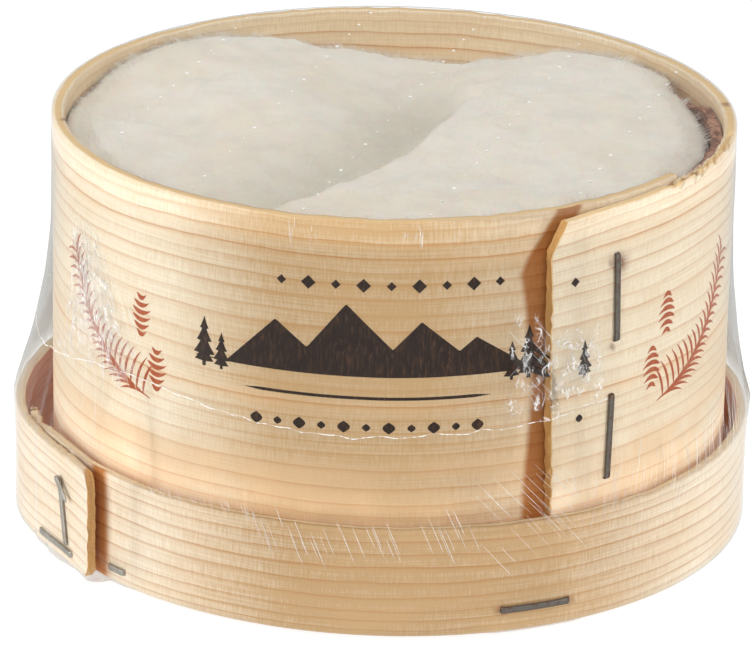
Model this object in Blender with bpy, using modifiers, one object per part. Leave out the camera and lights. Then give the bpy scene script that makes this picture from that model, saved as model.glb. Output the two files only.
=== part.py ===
"""A soft mountain cheese in its round spruce box, which stands in its own upturned lid, all shrink-wrapped.

The box side and the lid band are single strips of thin spruce, bent round until their ends lap, and each lap is
held by wire staples. Boards close the box and the lid. A strap of spruce bark girds the cheese inside the box,
and a clear film is shrunk round everything.

Angles are in degrees, counterclockwise from +X seen from above, and the front of the pack is at 270.
"""
import math

import bmesh
import bpy

MM = 0.001

# Strips of spruce, in millimetres: the box side and the lid band
BOX_RADIUS = 56.5
BOX_HEIGHT = 64.5
BOX_WALL = 2.0
BOX_SHIFT_X = -1.1
LID_RADIUS = 60.0
LID_HEIGHT = 18.7
LID_WALL = 1.6
BOARD = 4.5
LAP_ANGLE = 31.0
LAP_GAP = 0.35

# The box side's outer end: its angle, how many degrees on it stands at its foot and at the rim, its cut corner
# and how far it springs off
BOX_END_ANGLE = 295.2
BOX_END_LEAN = (1.7, -0.7)
BOX_CORNER_HEIGHT = 4.3
BOX_CORNER_ANGLE = 3.0
BOX_END_DROP = 1.2
BOX_SPRING = 1.5

# The lid band's outer end, a tongue with round corners
LID_END_ANGLE = 219.3
TONGUE_CORNER = 2.4
TONGUE_SPRING = 1.5
BAND_BULGE = 1.6

# Fits
GAP = 0.3
FILM = 0.3
FILM_OVER_LID = 0.8
FOOT_OPENING = 38.0
FOOT_CORNER = 0.6

# Heights above the floor
LID_BOTTOM = FILM + GAP
BOX_BOTTOM = LID_BOTTOM + BOARD + GAP
RIM = BOX_BOTTOM + BOX_HEIGHT
LID_TOP = LID_BOTTOM + LID_HEIGHT
CHEESE_BOTTOM = BOX_BOTTOM + BOARD + GAP
FILM_TOP = RIM + GAP + FILM

# Cheese and bark
BARK = 1.6
BARK_DROP_OPEN = 2.4
OPEN_SIDE_ANGLE = 359.0
OPEN_SIDE_BARK = (12.0, 22.0)
OPEN_SIDE_CHEESE = (22.0, 32.0)
LIP_ROUNDING = 1.3
LIP_DEPTH = 1.2

# Staples: flat wire
WIRE_WIDTH = 1.1
WIRE_THICKNESS = 0.45
WIRE_GAP = 0.2

# Faceting
STRIP_COLUMNS = 104
TURN_COLUMNS = 64
TOP_RINGS = 11


def smooth(x, start, end):
    """Smooth step from 0 at start to 1 at end."""
    t = min(1.0, max(0.0, (x - start) / (end - start)))
    return t * t * (3.0 - 2.0 * t)


def mix(a, b, t):
    """The value a share t of the way from a to b."""
    return a + (b - a) * t


def turn_between(angle, centre):
    """Signed difference of two angles, from -180 to 180."""
    return (angle - centre + 180.0) % 360.0 - 180.0


# Radii of the strips along their run, which starts at the outer end. The second turn is the inner layer.

def box_radius(run):
    """Outer face of the box side: springs off at its end, rides over the inner layer, then settles."""
    over = BOX_WALL + LAP_GAP - 0.9
    if run >= 360.0 - 30.0:
        return BOX_RADIUS - 0.9 * smooth(run, 333.0, 364.0)
    spring = BOX_SPRING * max(0.0, 1.0 - max(0.0, run) / 16.0) ** 2
    return BOX_RADIUS + over * (1.0 - smooth(run, 24.0, 104.0)) + spring


def lid_inner_layer(run):
    """Outer face of the lid band's inner layer, whose free end bows out."""
    return LID_RADIUS + 0.4 * smooth(run, 330.0, 362.0) + BAND_BULGE * smooth(run, 368.0, 391.0)


def lid_radius(run):
    """Outer face of the lid band: the tongue springs off, lies over the inner layer, then settles."""
    if run >= 330.0:
        return lid_inner_layer(run)
    over = LID_WALL + LAP_GAP
    if run <= LAP_ANGLE:
        return lid_inner_layer(run + 360.0) + over + TONGUE_SPRING * max(0.0, 1.0 - run / 11.0) ** 2
    return LID_RADIUS + (over + 2.0) * (1.0 - smooth(run, LAP_ANGLE, 200.0))


def box_outside(angle):
    """Outermost radius of the box side at an angle."""
    return box_radius((angle - BOX_END_ANGLE) % 360.0)


def lid_outside(angle):
    """Outermost radius of the lid band at an angle."""
    return lid_radius((LID_END_ANGLE - angle) % 360.0)


def box_lining(angle):
    """Free radius inside the box side, eased across the step where the inner layer ends."""
    run = (angle - BOX_END_ANGLE) % 360.0
    inner = box_radius(360.0 + min(run, LAP_ANGLE))
    if run <= LAP_ANGLE:
        return inner - BOX_WALL
    return mix(inner, box_radius(run), smooth(run, LAP_ANGLE + 2.0, LAP_ANGLE + 26.0)) - BOX_WALL


# Scene set-up

def clear_scene():
    """Removes the scene's objects."""
    for old in list(bpy.data.objects):
        bpy.data.objects.remove(old, do_unlink=True)


def make_material(name, colour, roughness, metallic=0.0, alpha=1.0):
    """A Principled material with plain values."""
    material = bpy.data.materials.new(name)
    material.use_nodes = True
    shader = material.node_tree.nodes["Principled BSDF"]
    shader.inputs["Base Color"].default_value = (*colour, 1.0)
    shader.inputs["Roughness"].default_value = roughness
    shader.inputs["Metallic"].default_value = metallic
    shader.inputs["Alpha"].default_value = alpha
    return material


def add_part(name, mesh, material, pack):
    """Links one named part under the pack's empty."""
    mesh.materials.append(material)
    part = bpy.data.objects.new(name, mesh)
    pack["collection"].objects.link(part)
    part.parent = pack["empty"]
    return part


def mapped_grid(name, columns, rows, point, closed):
    """A grid whose every corner is placed by point(u, v), with u and v from 0 to 1; closed joins u = 0 to u = 1."""
    bm = bmesh.new()
    bmesh.ops.create_grid(bm, x_segments=columns, y_segments=rows, size=0.5)
    for vert in bm.verts:
        vert.co = [value * MM for value in point(vert.co.x + 0.5, vert.co.y + 0.5)]
    if closed:
        bmesh.ops.remove_doubles(bm, verts=bm.verts, dist=0.00001)
    bmesh.ops.triangulate(bm, faces=bm.faces)
    mesh = bpy.data.meshes.new(name)
    bm.to_mesh(mesh)
    bm.free()
    mesh.shade_smooth()
    mesh.set_sharp_from_angle(angle=math.radians(35.0))
    return mesh


def thicken(part, thickness):
    """Gives an outer face its wall, inwards."""
    wall = part.modifiers.new("wall", "SOLIDIFY")
    wall.thickness = thickness * MM
    wall.offset = -1.0
    wall.use_even_offset = True


def round_edges(part, width):
    """Breaks a part's sharp edges."""
    edge = part.modifiers.new("edges", "BEVEL")
    edge.width = width * MM
    edge.segments = 1
    edge.limit_method = "ANGLE"


def at(radius, angle, height, centre_x=0.0):
    """A point at a radius and an angle round an upright axis."""
    turn = math.radians(angle)
    return centre_x + radius * math.cos(turn), radius * math.sin(turn), height


# Spruce strips

def strip(name, rows, place, thickness, material, pack):
    """A lapped strip: place(run, height, along) puts its outer face, rows are the heights of its mesh rows."""
    length = 360.0 + LAP_ANGLE

    def point(u, v):
        row = v * (len(rows) - 1)
        low = min(int(row), len(rows) - 2)
        return place(u * length, mix(rows[low], rows[low + 1], row - low), u)

    part = add_part(name, mapped_grid(name, STRIP_COLUMNS, len(rows) - 1, point, False), material, pack)
    thicken(part, thickness)
    return part


def box_side(material, pack):
    """The box side: its outer end has a cut top corner and sits a little low, its inner end is torn."""
    corner = RIM - BOX_CORNER_HEIGHT
    rows = (BOX_BOTTOM, mix(BOX_BOTTOM, corner, 0.36), mix(BOX_BOTTOM, corner, 0.72), corner, RIM)

    def place(run, height, along):
        lift = (height - BOX_BOTTOM) / BOX_HEIGHT
        cut = BOX_CORNER_ANGLE * max(0.0, height - corner) / BOX_CORNER_HEIGHT + mix(*BOX_END_LEAN, lift)
        torn = 0.9 * math.sin(0.31 * height)
        run = run + cut * (1.0 - along) ** 30 + torn * along ** 60
        eased = BOX_SPRING * max(0.0, 1.0 - max(0.0, run) / 16.0) ** 2 * (1.0 - lift) * 0.7
        drop = BOX_END_DROP * lift * max(0.0, 1.0 - run / 34.0)
        return at(box_radius(run) - eased, BOX_END_ANGLE + run, height - drop, BOX_SHIFT_X)

    return strip("box_side", rows, place, BOX_WALL, material, pack)


def lid_band(material, pack):
    """The lid band, which runs the other way round and ends in a tongue with round corners."""
    rows = (LID_BOTTOM, LID_BOTTOM + 0.3 * TONGUE_CORNER, LID_BOTTOM + TONGUE_CORNER,
            LID_TOP - TONGUE_CORNER, LID_TOP - 0.3 * TONGUE_CORNER, LID_TOP)

    def place(run, height, along):
        inside = min(height - LID_BOTTOM, LID_TOP - height, TONGUE_CORNER)
        rounding = TONGUE_CORNER - math.sqrt(TONGUE_CORNER ** 2 - (TONGUE_CORNER - inside) ** 2)
        torn = 0.8 * math.sin(0.6 * height)
        run = run + math.degrees(rounding / LID_RADIUS) * (1.0 - along) ** 60 + torn * along ** 60
        return at(lid_radius(run), LID_END_ANGLE - run, height)

    part = strip("lid_band", rows, place, LID_WALL, material, pack)
    part.data.flip_normals()
    return part


def board(name, radius, bottom, centre_x, material, pack):
    """A round spruce board with slightly broken edges."""
    bm = bmesh.new()
    bmesh.ops.create_cone(bm, cap_ends=True, segments=TURN_COLUMNS, radius1=radius * MM, radius2=radius * MM,
                          depth=BOARD * MM)
    mesh = bpy.data.meshes.new(name)
    bm.to_mesh(mesh)
    bm.free()
    part = add_part(name, mesh, material, pack)
    part.location = (centre_x * MM, 0.0, (bottom + BOARD / 2) * MM)
    round_edges(part, 0.6)
    return part


# Cheese and bark

def open_side(angle, reach):
    """1 near the side where the cheese stands back from its bark, falling to 0 between the two angles of reach."""
    return 1.0 - smooth(abs(turn_between(angle, OPEN_SIDE_ANGLE)), *reach)


def cheese_body(angle):
    """Radius of the cheese inside its bark."""
    return box_lining(angle) - GAP - BARK - GAP


def cheese_edge(angle):
    """Radius of the top's edge: it lips over the bark to the box side, and stands back at the open side."""
    return mix(box_lining(angle) - 0.4, cheese_body(angle) - 0.8, open_side(angle, OPEN_SIDE_CHEESE))


def cheese_edge_height(angle):
    """Height of the top's edge."""
    x, y, _ = at(cheese_edge(angle), angle, 0.0)
    return RIM - cheese_drop(x, y) - LIP_ROUNDING


def bark_top(angle):
    """Top of the bark strap: it hides under the cheese's lip except at the open side."""
    hidden = cheese_edge_height(angle) - LIP_DEPTH - GAP - 0.1
    return mix(hidden, RIM - BARK_DROP_OPEN, open_side(angle, OPEN_SIDE_BARK))


def bark_strap(material, pack):
    """The strap of bark that girds the cheese."""
    def point(u, v):
        angle = 360.0 * u
        return at(box_lining(angle) - GAP, angle, mix(CHEESE_BOTTOM, bark_top(angle), v), BOX_SHIFT_X)

    part = add_part("bark_strap", mapped_grid("bark_strap", TURN_COLUMNS, 2, point, True), material, pack)
    thicken(part, BARK)


def mound(x, y, centre_x, centre_y, long_axis, short_axis, turn):
    """A smooth oval mound of height 1, its long axis turned from +X."""
    c = math.cos(math.radians(turn))
    s = math.sin(math.radians(turn))
    along = ((x - centre_x) * c + (y - centre_y) * s) / long_axis
    across = ((y - centre_y) * c - (x - centre_x) * s) / short_axis
    return math.exp(-along * along - across * across)


def fold_line(y):
    """Where the main fold of the rind lies at each y: a parabola that sweeps from the back to the front left."""
    ahead = max(0.0, 14.0 - y)
    return 8.5 - 0.25 * ahead - 0.0052 * ahead * ahead


def cheese_drop(x, y):
    """How far the rind lies below the rim at a place in the box: soft lobes, a deep fold and low edges."""
    side = x - fold_line(y)
    reach = smooth(y, -44.0, -34.0) * (1.0 - smooth(y, 8.0, 34.0))
    flank = math.exp(-(side / 12.0) ** 2) if side < 0.0 else 1.0 - smooth(side, 0.0, 5.0)
    drop = 3.4 + 3.8 * reach * flank
    drop -= 1.7 * mound(x, y, -24.0, 16.0, 30.0, 15.0, 118.0)
    drop += 1.3 * mound(x, y, -37.0, 4.0, 26.0, 6.0, 140.0)
    drop -= 1.6 * mound(x, y, 30.0, 12.0, 20.0, 24.0, 60.0)
    drop -= 1.2 * mound(x, y, 8.0, -38.0, 20.0, 9.0, 0.0)
    drop += 1.1 * mound(x, y, 16.0, -20.0, 18.0, 7.0, 160.0)
    drop += 5.0 * mound(x, y, 10.0, 52.0, 17.0, 12.0, 170.0)
    drop += 1.6 * mound(x, y, -12.0, 54.0, 14.0, 9.0, 10.0)
    drop -= 2.4 * mound(x, y, -38.0, 34.0, 24.0, 12.0, 50.0)
    drop -= 2.0 * mound(x, y, 40.0, 32.0, 20.0, 12.0, 130.0)
    drop -= 1.0 * mound(x, y, -51.0, -2.0, 20.0, 9.0, 90.0)
    return drop


def cheese(material, pack):
    """The cheese: it fills the strap, lips over it to the box side, and has a lobed, folded top."""
    side_rows = 6
    rows = side_rows + TOP_RINGS

    def point(u, v):
        angle = 360.0 * u
        row = round(v * rows)
        body = cheese_body(angle)
        edge = cheese_edge(angle)
        step = cheese_edge_height(angle) - LIP_DEPTH
        if row < side_rows:
            radius, height = ((0.0, CHEESE_BOTTOM), (body - 1.5, CHEESE_BOTTOM), (body, CHEESE_BOTTOM + 1.5),
                              (body, step - 1.2), (body - 0.2, step), (edge, step + 0.2))[row]
            return at(radius, angle, height, BOX_SHIFT_X)
        inwards = (row - side_rows) / TOP_RINGS
        radius = edge * (1.0 - inwards)
        x, y, _ = at(radius, angle, 0.0)
        rounding = LIP_ROUNDING * smooth(radius, edge - 7.0, edge) ** 2
        return at(radius, angle, RIM - cheese_drop(x, y) - rounding, BOX_SHIFT_X)

    add_part("cheese", mapped_grid("cheese", TURN_COLUMNS, rows, point, True), material, pack)


# Staples

def staple(name, surface, centre_x, angles, heights, material, pack):
    """A crown of flat wire on a strip, from one angle and height to another; surface gives the strip's radius."""
    def point(u, v):
        angle = mix(angles[0], angles[1], u)
        height = mix(heights[0], heights[1], u)
        tall = abs(heights[1] - heights[0])
        wide = abs(math.radians(angles[1] - angles[0])) * LID_RADIUS
        length = math.hypot(tall, wide)
        across = (v - 0.5) * WIRE_WIDTH
        angle += math.degrees(across * (heights[1] - heights[0]) / length / LID_RADIUS)
        height -= across * math.radians(angles[1] - angles[0]) * LID_RADIUS / length
        return at(surface(angle) + WIRE_GAP + WIRE_THICKNESS, angle, height, centre_x)

    part = add_part(name, mapped_grid(name, 4, 1, point, False), material, pack)
    part.data.flip_normals()
    thicken(part, WIRE_THICKNESS)
    round_edges(part, 0.1)


def staples(material, pack):
    """The wire staples: two down the box side's lap, three at the tongue and one at the lid's front."""
    base = LID_BOTTOM
    staple("staple_box_upper", box_outside, BOX_SHIFT_X, (308.5, 308.0), (base + 46.0, base + 60.8), material, pack)
    staple("staple_box_lower", box_outside, BOX_SHIFT_X, (307.4, 307.9), (base + 22.5, base + 36.8), material, pack)
    staple("staple_tongue_upright", lid_outside, 0.0, (211.5, 209.3), (base + 3.2, base + 14.5), material, pack)
    staple("staple_tongue_level", lid_outside, 0.0, (202.6, 213.4), (base + 2.0, base + 2.1), material, pack)
    staple("staple_band_side", lid_outside, 0.0, (220.8, 224.3), (base + 2.4, base + 2.4), material, pack)
    staple("staple_band_front", lid_outside, 0.0, (287.6, 298.8), (base + 3.9, base + 3.9), material, pack)


# Film

def film_box_radius(angle):
    """Outer face of the film round the box: it clears the staples and spans in to the lap's end."""
    clear = GAP + FILM + 0.75 * smooth(angle, 297.0, 301.0) * (1.0 - smooth(angle, 315.0, 319.0))
    spring = box_radius(0.0) + GAP + FILM
    span = mix(BOX_RADIUS, spring, smooth(angle, 281.0, 294.0)) if angle < BOX_END_ANGLE else 0.0
    return max(box_outside(angle) + clear, span)


def film_lid_radius(angle):
    """Outer face of the film round the lid: it clears the staples and spans out to the tongue's end."""
    past = turn_between(angle, LID_END_ANGLE)
    span = mix(lid_radius(0.0), LID_RADIUS, smooth(past, 1.0, 14.0)) if past > 0.0 else 0.0
    return max(lid_outside(angle), span) + FILM_OVER_LID + FILM


def film_flare(down):
    """How far out the film stands between box and lid, a share down from the rim to the lid's top edge."""
    return min(1.0, max(0.0, (down - 0.3) / 0.68) ** 1.6)


def film_outline(angle):
    """The film's outer face at an angle, as centre x, radius and height, from under the foot to the middle."""
    box = film_box_radius(angle)
    lid = film_lid_radius(angle)
    outline = [(0.0, FOOT_OPENING, 0.0), (0.0, lid - FOOT_CORNER, 0.0), (0.0, lid, FOOT_CORNER)]
    outline += [(0.0, lid, LID_TOP)]
    for down in (0.9, 0.8, 0.7, 0.6, 0.45, 0.22):
        out = film_flare(down)
        outline.append((BOX_SHIFT_X * (1.0 - out), mix(box, lid, out), mix(RIM, LID_TOP, down)))
    outline += [(BOX_SHIFT_X, box, FILM_TOP - 0.3), (BOX_SHIFT_X, box - 0.3, FILM_TOP)]
    outline += [(BOX_SHIFT_X, box * share, FILM_TOP) for share in (0.5, 0.0)]
    return outline


def film_wrap(material, pack):
    """The clear film: a thin skin from under the lid, up the sides and across the top."""
    last = len(film_outline(0.0)) - 1

    def point(u, v):
        centre_x, radius, height = film_outline(360.0 * u)[round(v * last)]
        return at(radius, 360.0 * u, height, centre_x)

    part = add_part("film_wrap", mapped_grid("film_wrap", TURN_COLUMNS, last, point, True), material, pack)
    thicken(part, FILM)


def pack_centre():
    """Middle of the film's outline seen from above, which becomes the model's origin."""
    turns = [360.0 * column / TURN_COLUMNS for column in range(TURN_COLUMNS)]
    points = [at(film_lid_radius(angle), angle, 0.0) for angle in turns]
    return [(min(p[axis] for p in points) + max(p[axis] for p in points)) / 2 for axis in (0, 1)]


def build():
    """Makes every part of the pack."""
    clear_scene()
    collection = bpy.data.collections.new("vacherin_cheese_in_spruce_box")
    bpy.context.scene.collection.children.link(collection)
    empty = bpy.data.objects.new("pack", None)
    collection.objects.link(empty)
    centre = pack_centre()
    empty.location = (-centre[0] * MM, -centre[1] * MM, 0.0)
    pack = {"collection": collection, "empty": empty}

    side_wood = make_material("spruce_side", (0.80, 0.62, 0.40), 0.6)
    board_wood = make_material("spruce_board", (0.76, 0.58, 0.37), 0.65)
    wire = make_material("staple_wire", (0.36, 0.35, 0.33), 0.35, metallic=1.0)

    box_side(side_wood, pack)
    board("box_base", box_lining(310.0) - 0.4, BOX_BOTTOM, BOX_SHIFT_X, board_wood, pack)
    lid_band(side_wood, pack)
    board("lid_board", LID_RADIUS - LID_WALL - 0.4, LID_BOTTOM, 0.0, board_wood, pack)
    bark_strap(make_material("spruce_bark", (0.33, 0.17, 0.12), 0.85), pack)
    cheese(make_material("bloomy_rind", (0.80, 0.76, 0.70), 0.9), pack)
    staples(wire, pack)
    film_wrap(make_material("clear_film", (0.95, 0.95, 0.95), 0.08, alpha=0.2), pack)


build()
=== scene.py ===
"""The looks of a soft mountain cheese in its round spruce box, standing in its lid under clear film.

Shapes are worked out in millimetres round upright axes and turned into metres when a mesh is made. Angles
are in degrees, counterclockwise from +X seen from above, and the front of the pack is at 270.
"""
import logging
import math
from dataclasses import dataclass, field
from enum import Enum

import bpy
import numpy as np
from mathutils import Matrix, Vector


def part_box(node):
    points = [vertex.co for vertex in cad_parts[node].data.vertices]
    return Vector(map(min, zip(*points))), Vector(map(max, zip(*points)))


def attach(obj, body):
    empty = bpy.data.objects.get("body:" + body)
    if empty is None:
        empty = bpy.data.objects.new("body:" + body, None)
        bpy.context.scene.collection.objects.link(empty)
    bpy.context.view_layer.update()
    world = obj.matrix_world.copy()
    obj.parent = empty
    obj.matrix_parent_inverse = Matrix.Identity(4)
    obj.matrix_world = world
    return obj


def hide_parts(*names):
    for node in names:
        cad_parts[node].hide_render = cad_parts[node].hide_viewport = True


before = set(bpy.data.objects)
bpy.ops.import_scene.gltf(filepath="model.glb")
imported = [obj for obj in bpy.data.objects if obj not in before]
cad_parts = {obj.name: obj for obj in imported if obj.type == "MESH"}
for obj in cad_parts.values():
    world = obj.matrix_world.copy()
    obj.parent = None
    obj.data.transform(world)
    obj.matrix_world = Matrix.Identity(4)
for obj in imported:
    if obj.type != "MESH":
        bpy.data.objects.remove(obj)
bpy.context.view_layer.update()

MM = 0.001
BODY = "root"
Array = np.ndarray
Pair = tuple[float, float]
Triple = tuple[float, float, float]
Socket = bpy.types.NodeSocket
Material = bpy.types.Material
log = logging.getLogger("cheese_box")


# Shared formulas

def smooth(x: Array, start: float, end: float) -> Array:
    """Smooth step: 0 before start, 1 after end, and 3tt - 2ttt between them, with t the share of the way."""
    t = np.clip((np.asarray(x, float) - start) / (end - start), 0.0, 1.0)
    return t * t * (3.0 - 2.0 * t)


def mix(a: Array, b: Array, share: Array) -> Array:
    """The value a share of the way from a to b."""
    return a + (b - a) * share


def turn_between(angle: Array, centre: float) -> Array:
    """Signed difference of two angles, from -180 to 180."""
    return (np.asarray(angle, float) - centre + 180.0) % 360.0 - 180.0


def coords(*parts: Array) -> Array:
    """Coordinates put side by side along a new last axis."""
    return np.stack(parts, -1)


def cosine(angle: Array) -> Array:
    """The cosine of an angle in degrees."""
    return np.cos(np.radians(angle))


def sine(angle: Array) -> Array:
    """The sine of an angle in degrees."""
    return np.sin(np.radians(angle))


def outwards(angle: Array) -> Array:
    """Level unit vectors that point away from an upright axis, cos a and sin a, at each angle."""
    return coords(cosine(angle), sine(angle), 0.0 * angle)


def polar(radius: Array, angle: Array, height: Array, centre: Array) -> Array:
    """Points round an upright axis: centre + r cos a, centre + r sin a, and the height."""
    radius, angle, height = np.broadcast_arrays(radius, np.radians(angle), height)
    return coords(centre[0] + radius * np.cos(angle), centre[1] + radius * np.sin(angle), height)


@dataclass(frozen=True)
class Ripple:
    """A smooth random field: a sum of sine waves with random directions, lengths and phases, about 1 high.

    Attributes:
        size: Typical length of a wave in millimetres.
        seed: Seed of the random draw.
        waves: How many waves are summed.
    """

    size: float
    seed: int
    waves: int = 20

    def at(self, points: Array) -> Array:
        """The field at each point.

        Args:
            points: Points with two or three coordinates along the last axis.

        Returns:
            One value a point.
        """
        draw = np.random.default_rng(self.seed)
        aim = draw.normal(size=(self.waves, points.shape[-1]))
        aim *= draw.uniform(0.6, 1.6, (self.waves, 1)) / np.linalg.norm(aim, axis=1, keepdims=True)
        phase = draw.uniform(0.0, 2.0 * math.pi, self.waves)
        total = np.zeros(points.shape[:-1])
        for direction, start in zip(aim, phase):
            total += np.sin(points @ direction * (2.0 * math.pi / self.size) + start)
        return total * math.sqrt(2.0 / self.waves)


# Meshes from whole arrays

def grid_quads(index: Array) -> Array:
    """The quads between neighbouring rows and columns of an array of vertex numbers."""
    corners = (index[:-1, :-1], index[:-1, 1:], index[1:, 1:], index[1:, :-1])
    return np.stack([c.ravel() for c in corners], -1)


def closed_columns(index: Array) -> Array:
    """An array of vertex numbers whose first column is repeated after its last."""
    return np.concatenate((index, index[:, :1]), 1)


@dataclass
class Shape:
    """A closed surface: points in millimetres, quads, triangles and named values for each point."""

    points: Array
    quads: Array
    triangles: Array = field(default_factory=lambda: np.zeros((0, 3), int))
    values: dict[str, Array] = field(default_factory=dict)

    def all_triangles(self) -> Array:
        """The surface's triangles, each quad cut in two."""
        q = self.quads
        return np.concatenate((q[:, (0, 1, 2)], q[:, (0, 2, 3)], self.triangles))

    def facing_out(self) -> "Shape":
        """Turns the faces outwards if the sign of the volume tells that they point in.

        Returns:
            The same surface.
        """
        a, b, c = (self.points[self.all_triangles()[:, k]] for k in range(3))
        if np.einsum("ij,ij->", a, np.cross(b, c)) < 0.0:
            self.quads = self.quads[:, ::-1]
            self.triangles = self.triangles[:, ::-1]
        return self

    def piece(self, name: str, material: Material, slot: str, replaced: str | None = None,
              sharp: float = 50.0) -> bpy.types.Object:
        """Makes the surface an object that rides on the pack.

        Args:
            name: The piece's name.
            material: Its finish.
            slot: The record's material slot for its finish; not used.
            replaced: The CAD node that it stands for, if any.
            sharp: Edges that turn by more degrees than this are sharp.

        Returns:
            The new object.
        """
        mesh = bpy.data.meshes.new(name)
        corners = np.concatenate((self.quads.ravel(), self.triangles.ravel())).astype(np.int32)
        starts = np.concatenate((4 * np.arange(len(self.quads)),
                                 4 * len(self.quads) + 3 * np.arange(len(self.triangles)))).astype(np.int32)
        mesh.vertices.add(len(self.points))
        mesh.vertices.foreach_set("co", (self.points * MM).astype(np.float32).ravel())
        mesh.loops.add(len(corners))
        mesh.loops.foreach_set("vertex_index", corners)
        mesh.polygons.add(len(starts))
        mesh.polygons.foreach_set("loop_start", starts)
        mesh.update(calc_edges=True)
        for label, value in self.values.items():
            kind, key = ("FLOAT_VECTOR", "vector") if value.ndim > 1 else ("FLOAT", "value")
            mesh.attributes.new(label, kind, "POINT").data.foreach_set(key, value.astype(np.float32).ravel())
        mesh.shade_smooth()
        mesh.set_sharp_from_angle(angle=math.radians(sharp))
        mesh.materials.append(material)
        made = bpy.data.objects.new(name, mesh)
        bpy.context.scene.collection.objects.link(made)
        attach(made, BODY)
        if replaced:
            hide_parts(replaced)
        log.info("%s: %d triangles", name, len(self.all_triangles()))
        return made


def joined(shapes: list[Shape]) -> Shape:
    """Several closed surfaces as one shape.

    Args:
        shapes: The surfaces, with the same named values.

    Returns:
        One shape that holds them all.
    """
    offsets = np.cumsum([0] + [len(s.points) for s in shapes[:-1]])
    values = {label: np.concatenate([s.values[label] for s in shapes]) for label in shapes[0].values}
    return Shape(np.concatenate([s.points for s in shapes]),
                 np.concatenate([s.quads + o for s, o in zip(shapes, offsets)]),
                 np.concatenate([s.triangles + o for s, o in zip(shapes, offsets)]), values)


def ball_grid(rings: Array, values: dict[str, Array] | None = None) -> Shape:
    """Closes rings of points, stacked from a first to a last pole, into a ball-like surface.

    Args:
        rings: Points by ring and turn; the first and last ring are drawn together into the poles.
        values: Named values by ring and turn.

    Returns:
        The closed surface.
    """
    count, columns = rings.shape[:2]
    inner = rings[1:-1].reshape(-1, 3)
    points = np.concatenate((inner, rings[0].mean(0)[None], rings[-1].mean(0)[None]))
    index = closed_columns(np.arange((count - 2) * columns).reshape(count - 2, columns))
    first, last = len(points) - 2, len(points) - 1
    fans = [coords(np.full(columns, first), index[0, 1:], index[0, :-1]),
            coords(np.full(columns, last), index[-1, :-1], index[-1, 1:])]
    named = {}
    for label, value in (values or {}).items():
        flat = value[1:-1].reshape((-1,) + value.shape[2:])
        named[label] = np.concatenate((flat, value[0].mean(0)[None], value[-1].mean(0)[None]))
    return Shape(points, grid_quads(index), np.concatenate(fans), named).facing_out()


def ring_grid(rings: Array, values: dict[str, Array] | None = None) -> Shape:
    """Closes a loop of rings into a ring-like surface.

    Args:
        rings: Points by place in the cross-section and turn.
        values: Named values by the same.

    Returns:
        The closed surface.
    """
    count, columns = rings.shape[:2]
    index = closed_columns(np.arange(count * columns).reshape(count, columns))
    index = np.concatenate((index, index[:1]))
    named = {k: v.reshape((-1,) + v.shape[2:]) for k, v in (values or {}).items()}
    return Shape(rings.reshape(-1, 3), grid_quads(index), values=named).facing_out()


def slab_grid(top: Array, bottom: Array, values: dict[str, Array] | None = None) -> Shape:
    """A thin plate between two like grids of points, closed round its border.

    Args:
        top: Points by row and column.
        bottom: The points under them.
        values: Named values by row and column, the same for both sides.

    Returns:
        The closed plate.
    """
    rows, columns = top.shape[:2]
    upper = np.arange(rows * columns).reshape(rows, columns)
    lower = upper + rows * columns
    border = np.concatenate((upper[0, :-1], upper[:-1, -1], upper[-1, :0:-1], upper[:0:-1, 0]))
    loop = coords(border, np.roll(border, -1))
    sides = np.concatenate((loop[:, ::-1], loop + rows * columns), 1)
    quads = np.concatenate((grid_quads(upper), grid_quads(lower)[:, ::-1], sides))
    named = {k: np.tile(v.ravel(), 2) for k, v in (values or {}).items()}
    points = np.concatenate((top.reshape(-1, 3), bottom.reshape(-1, 3)))
    return Shape(points, quads, values=named).facing_out()


# Node graphs

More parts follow.
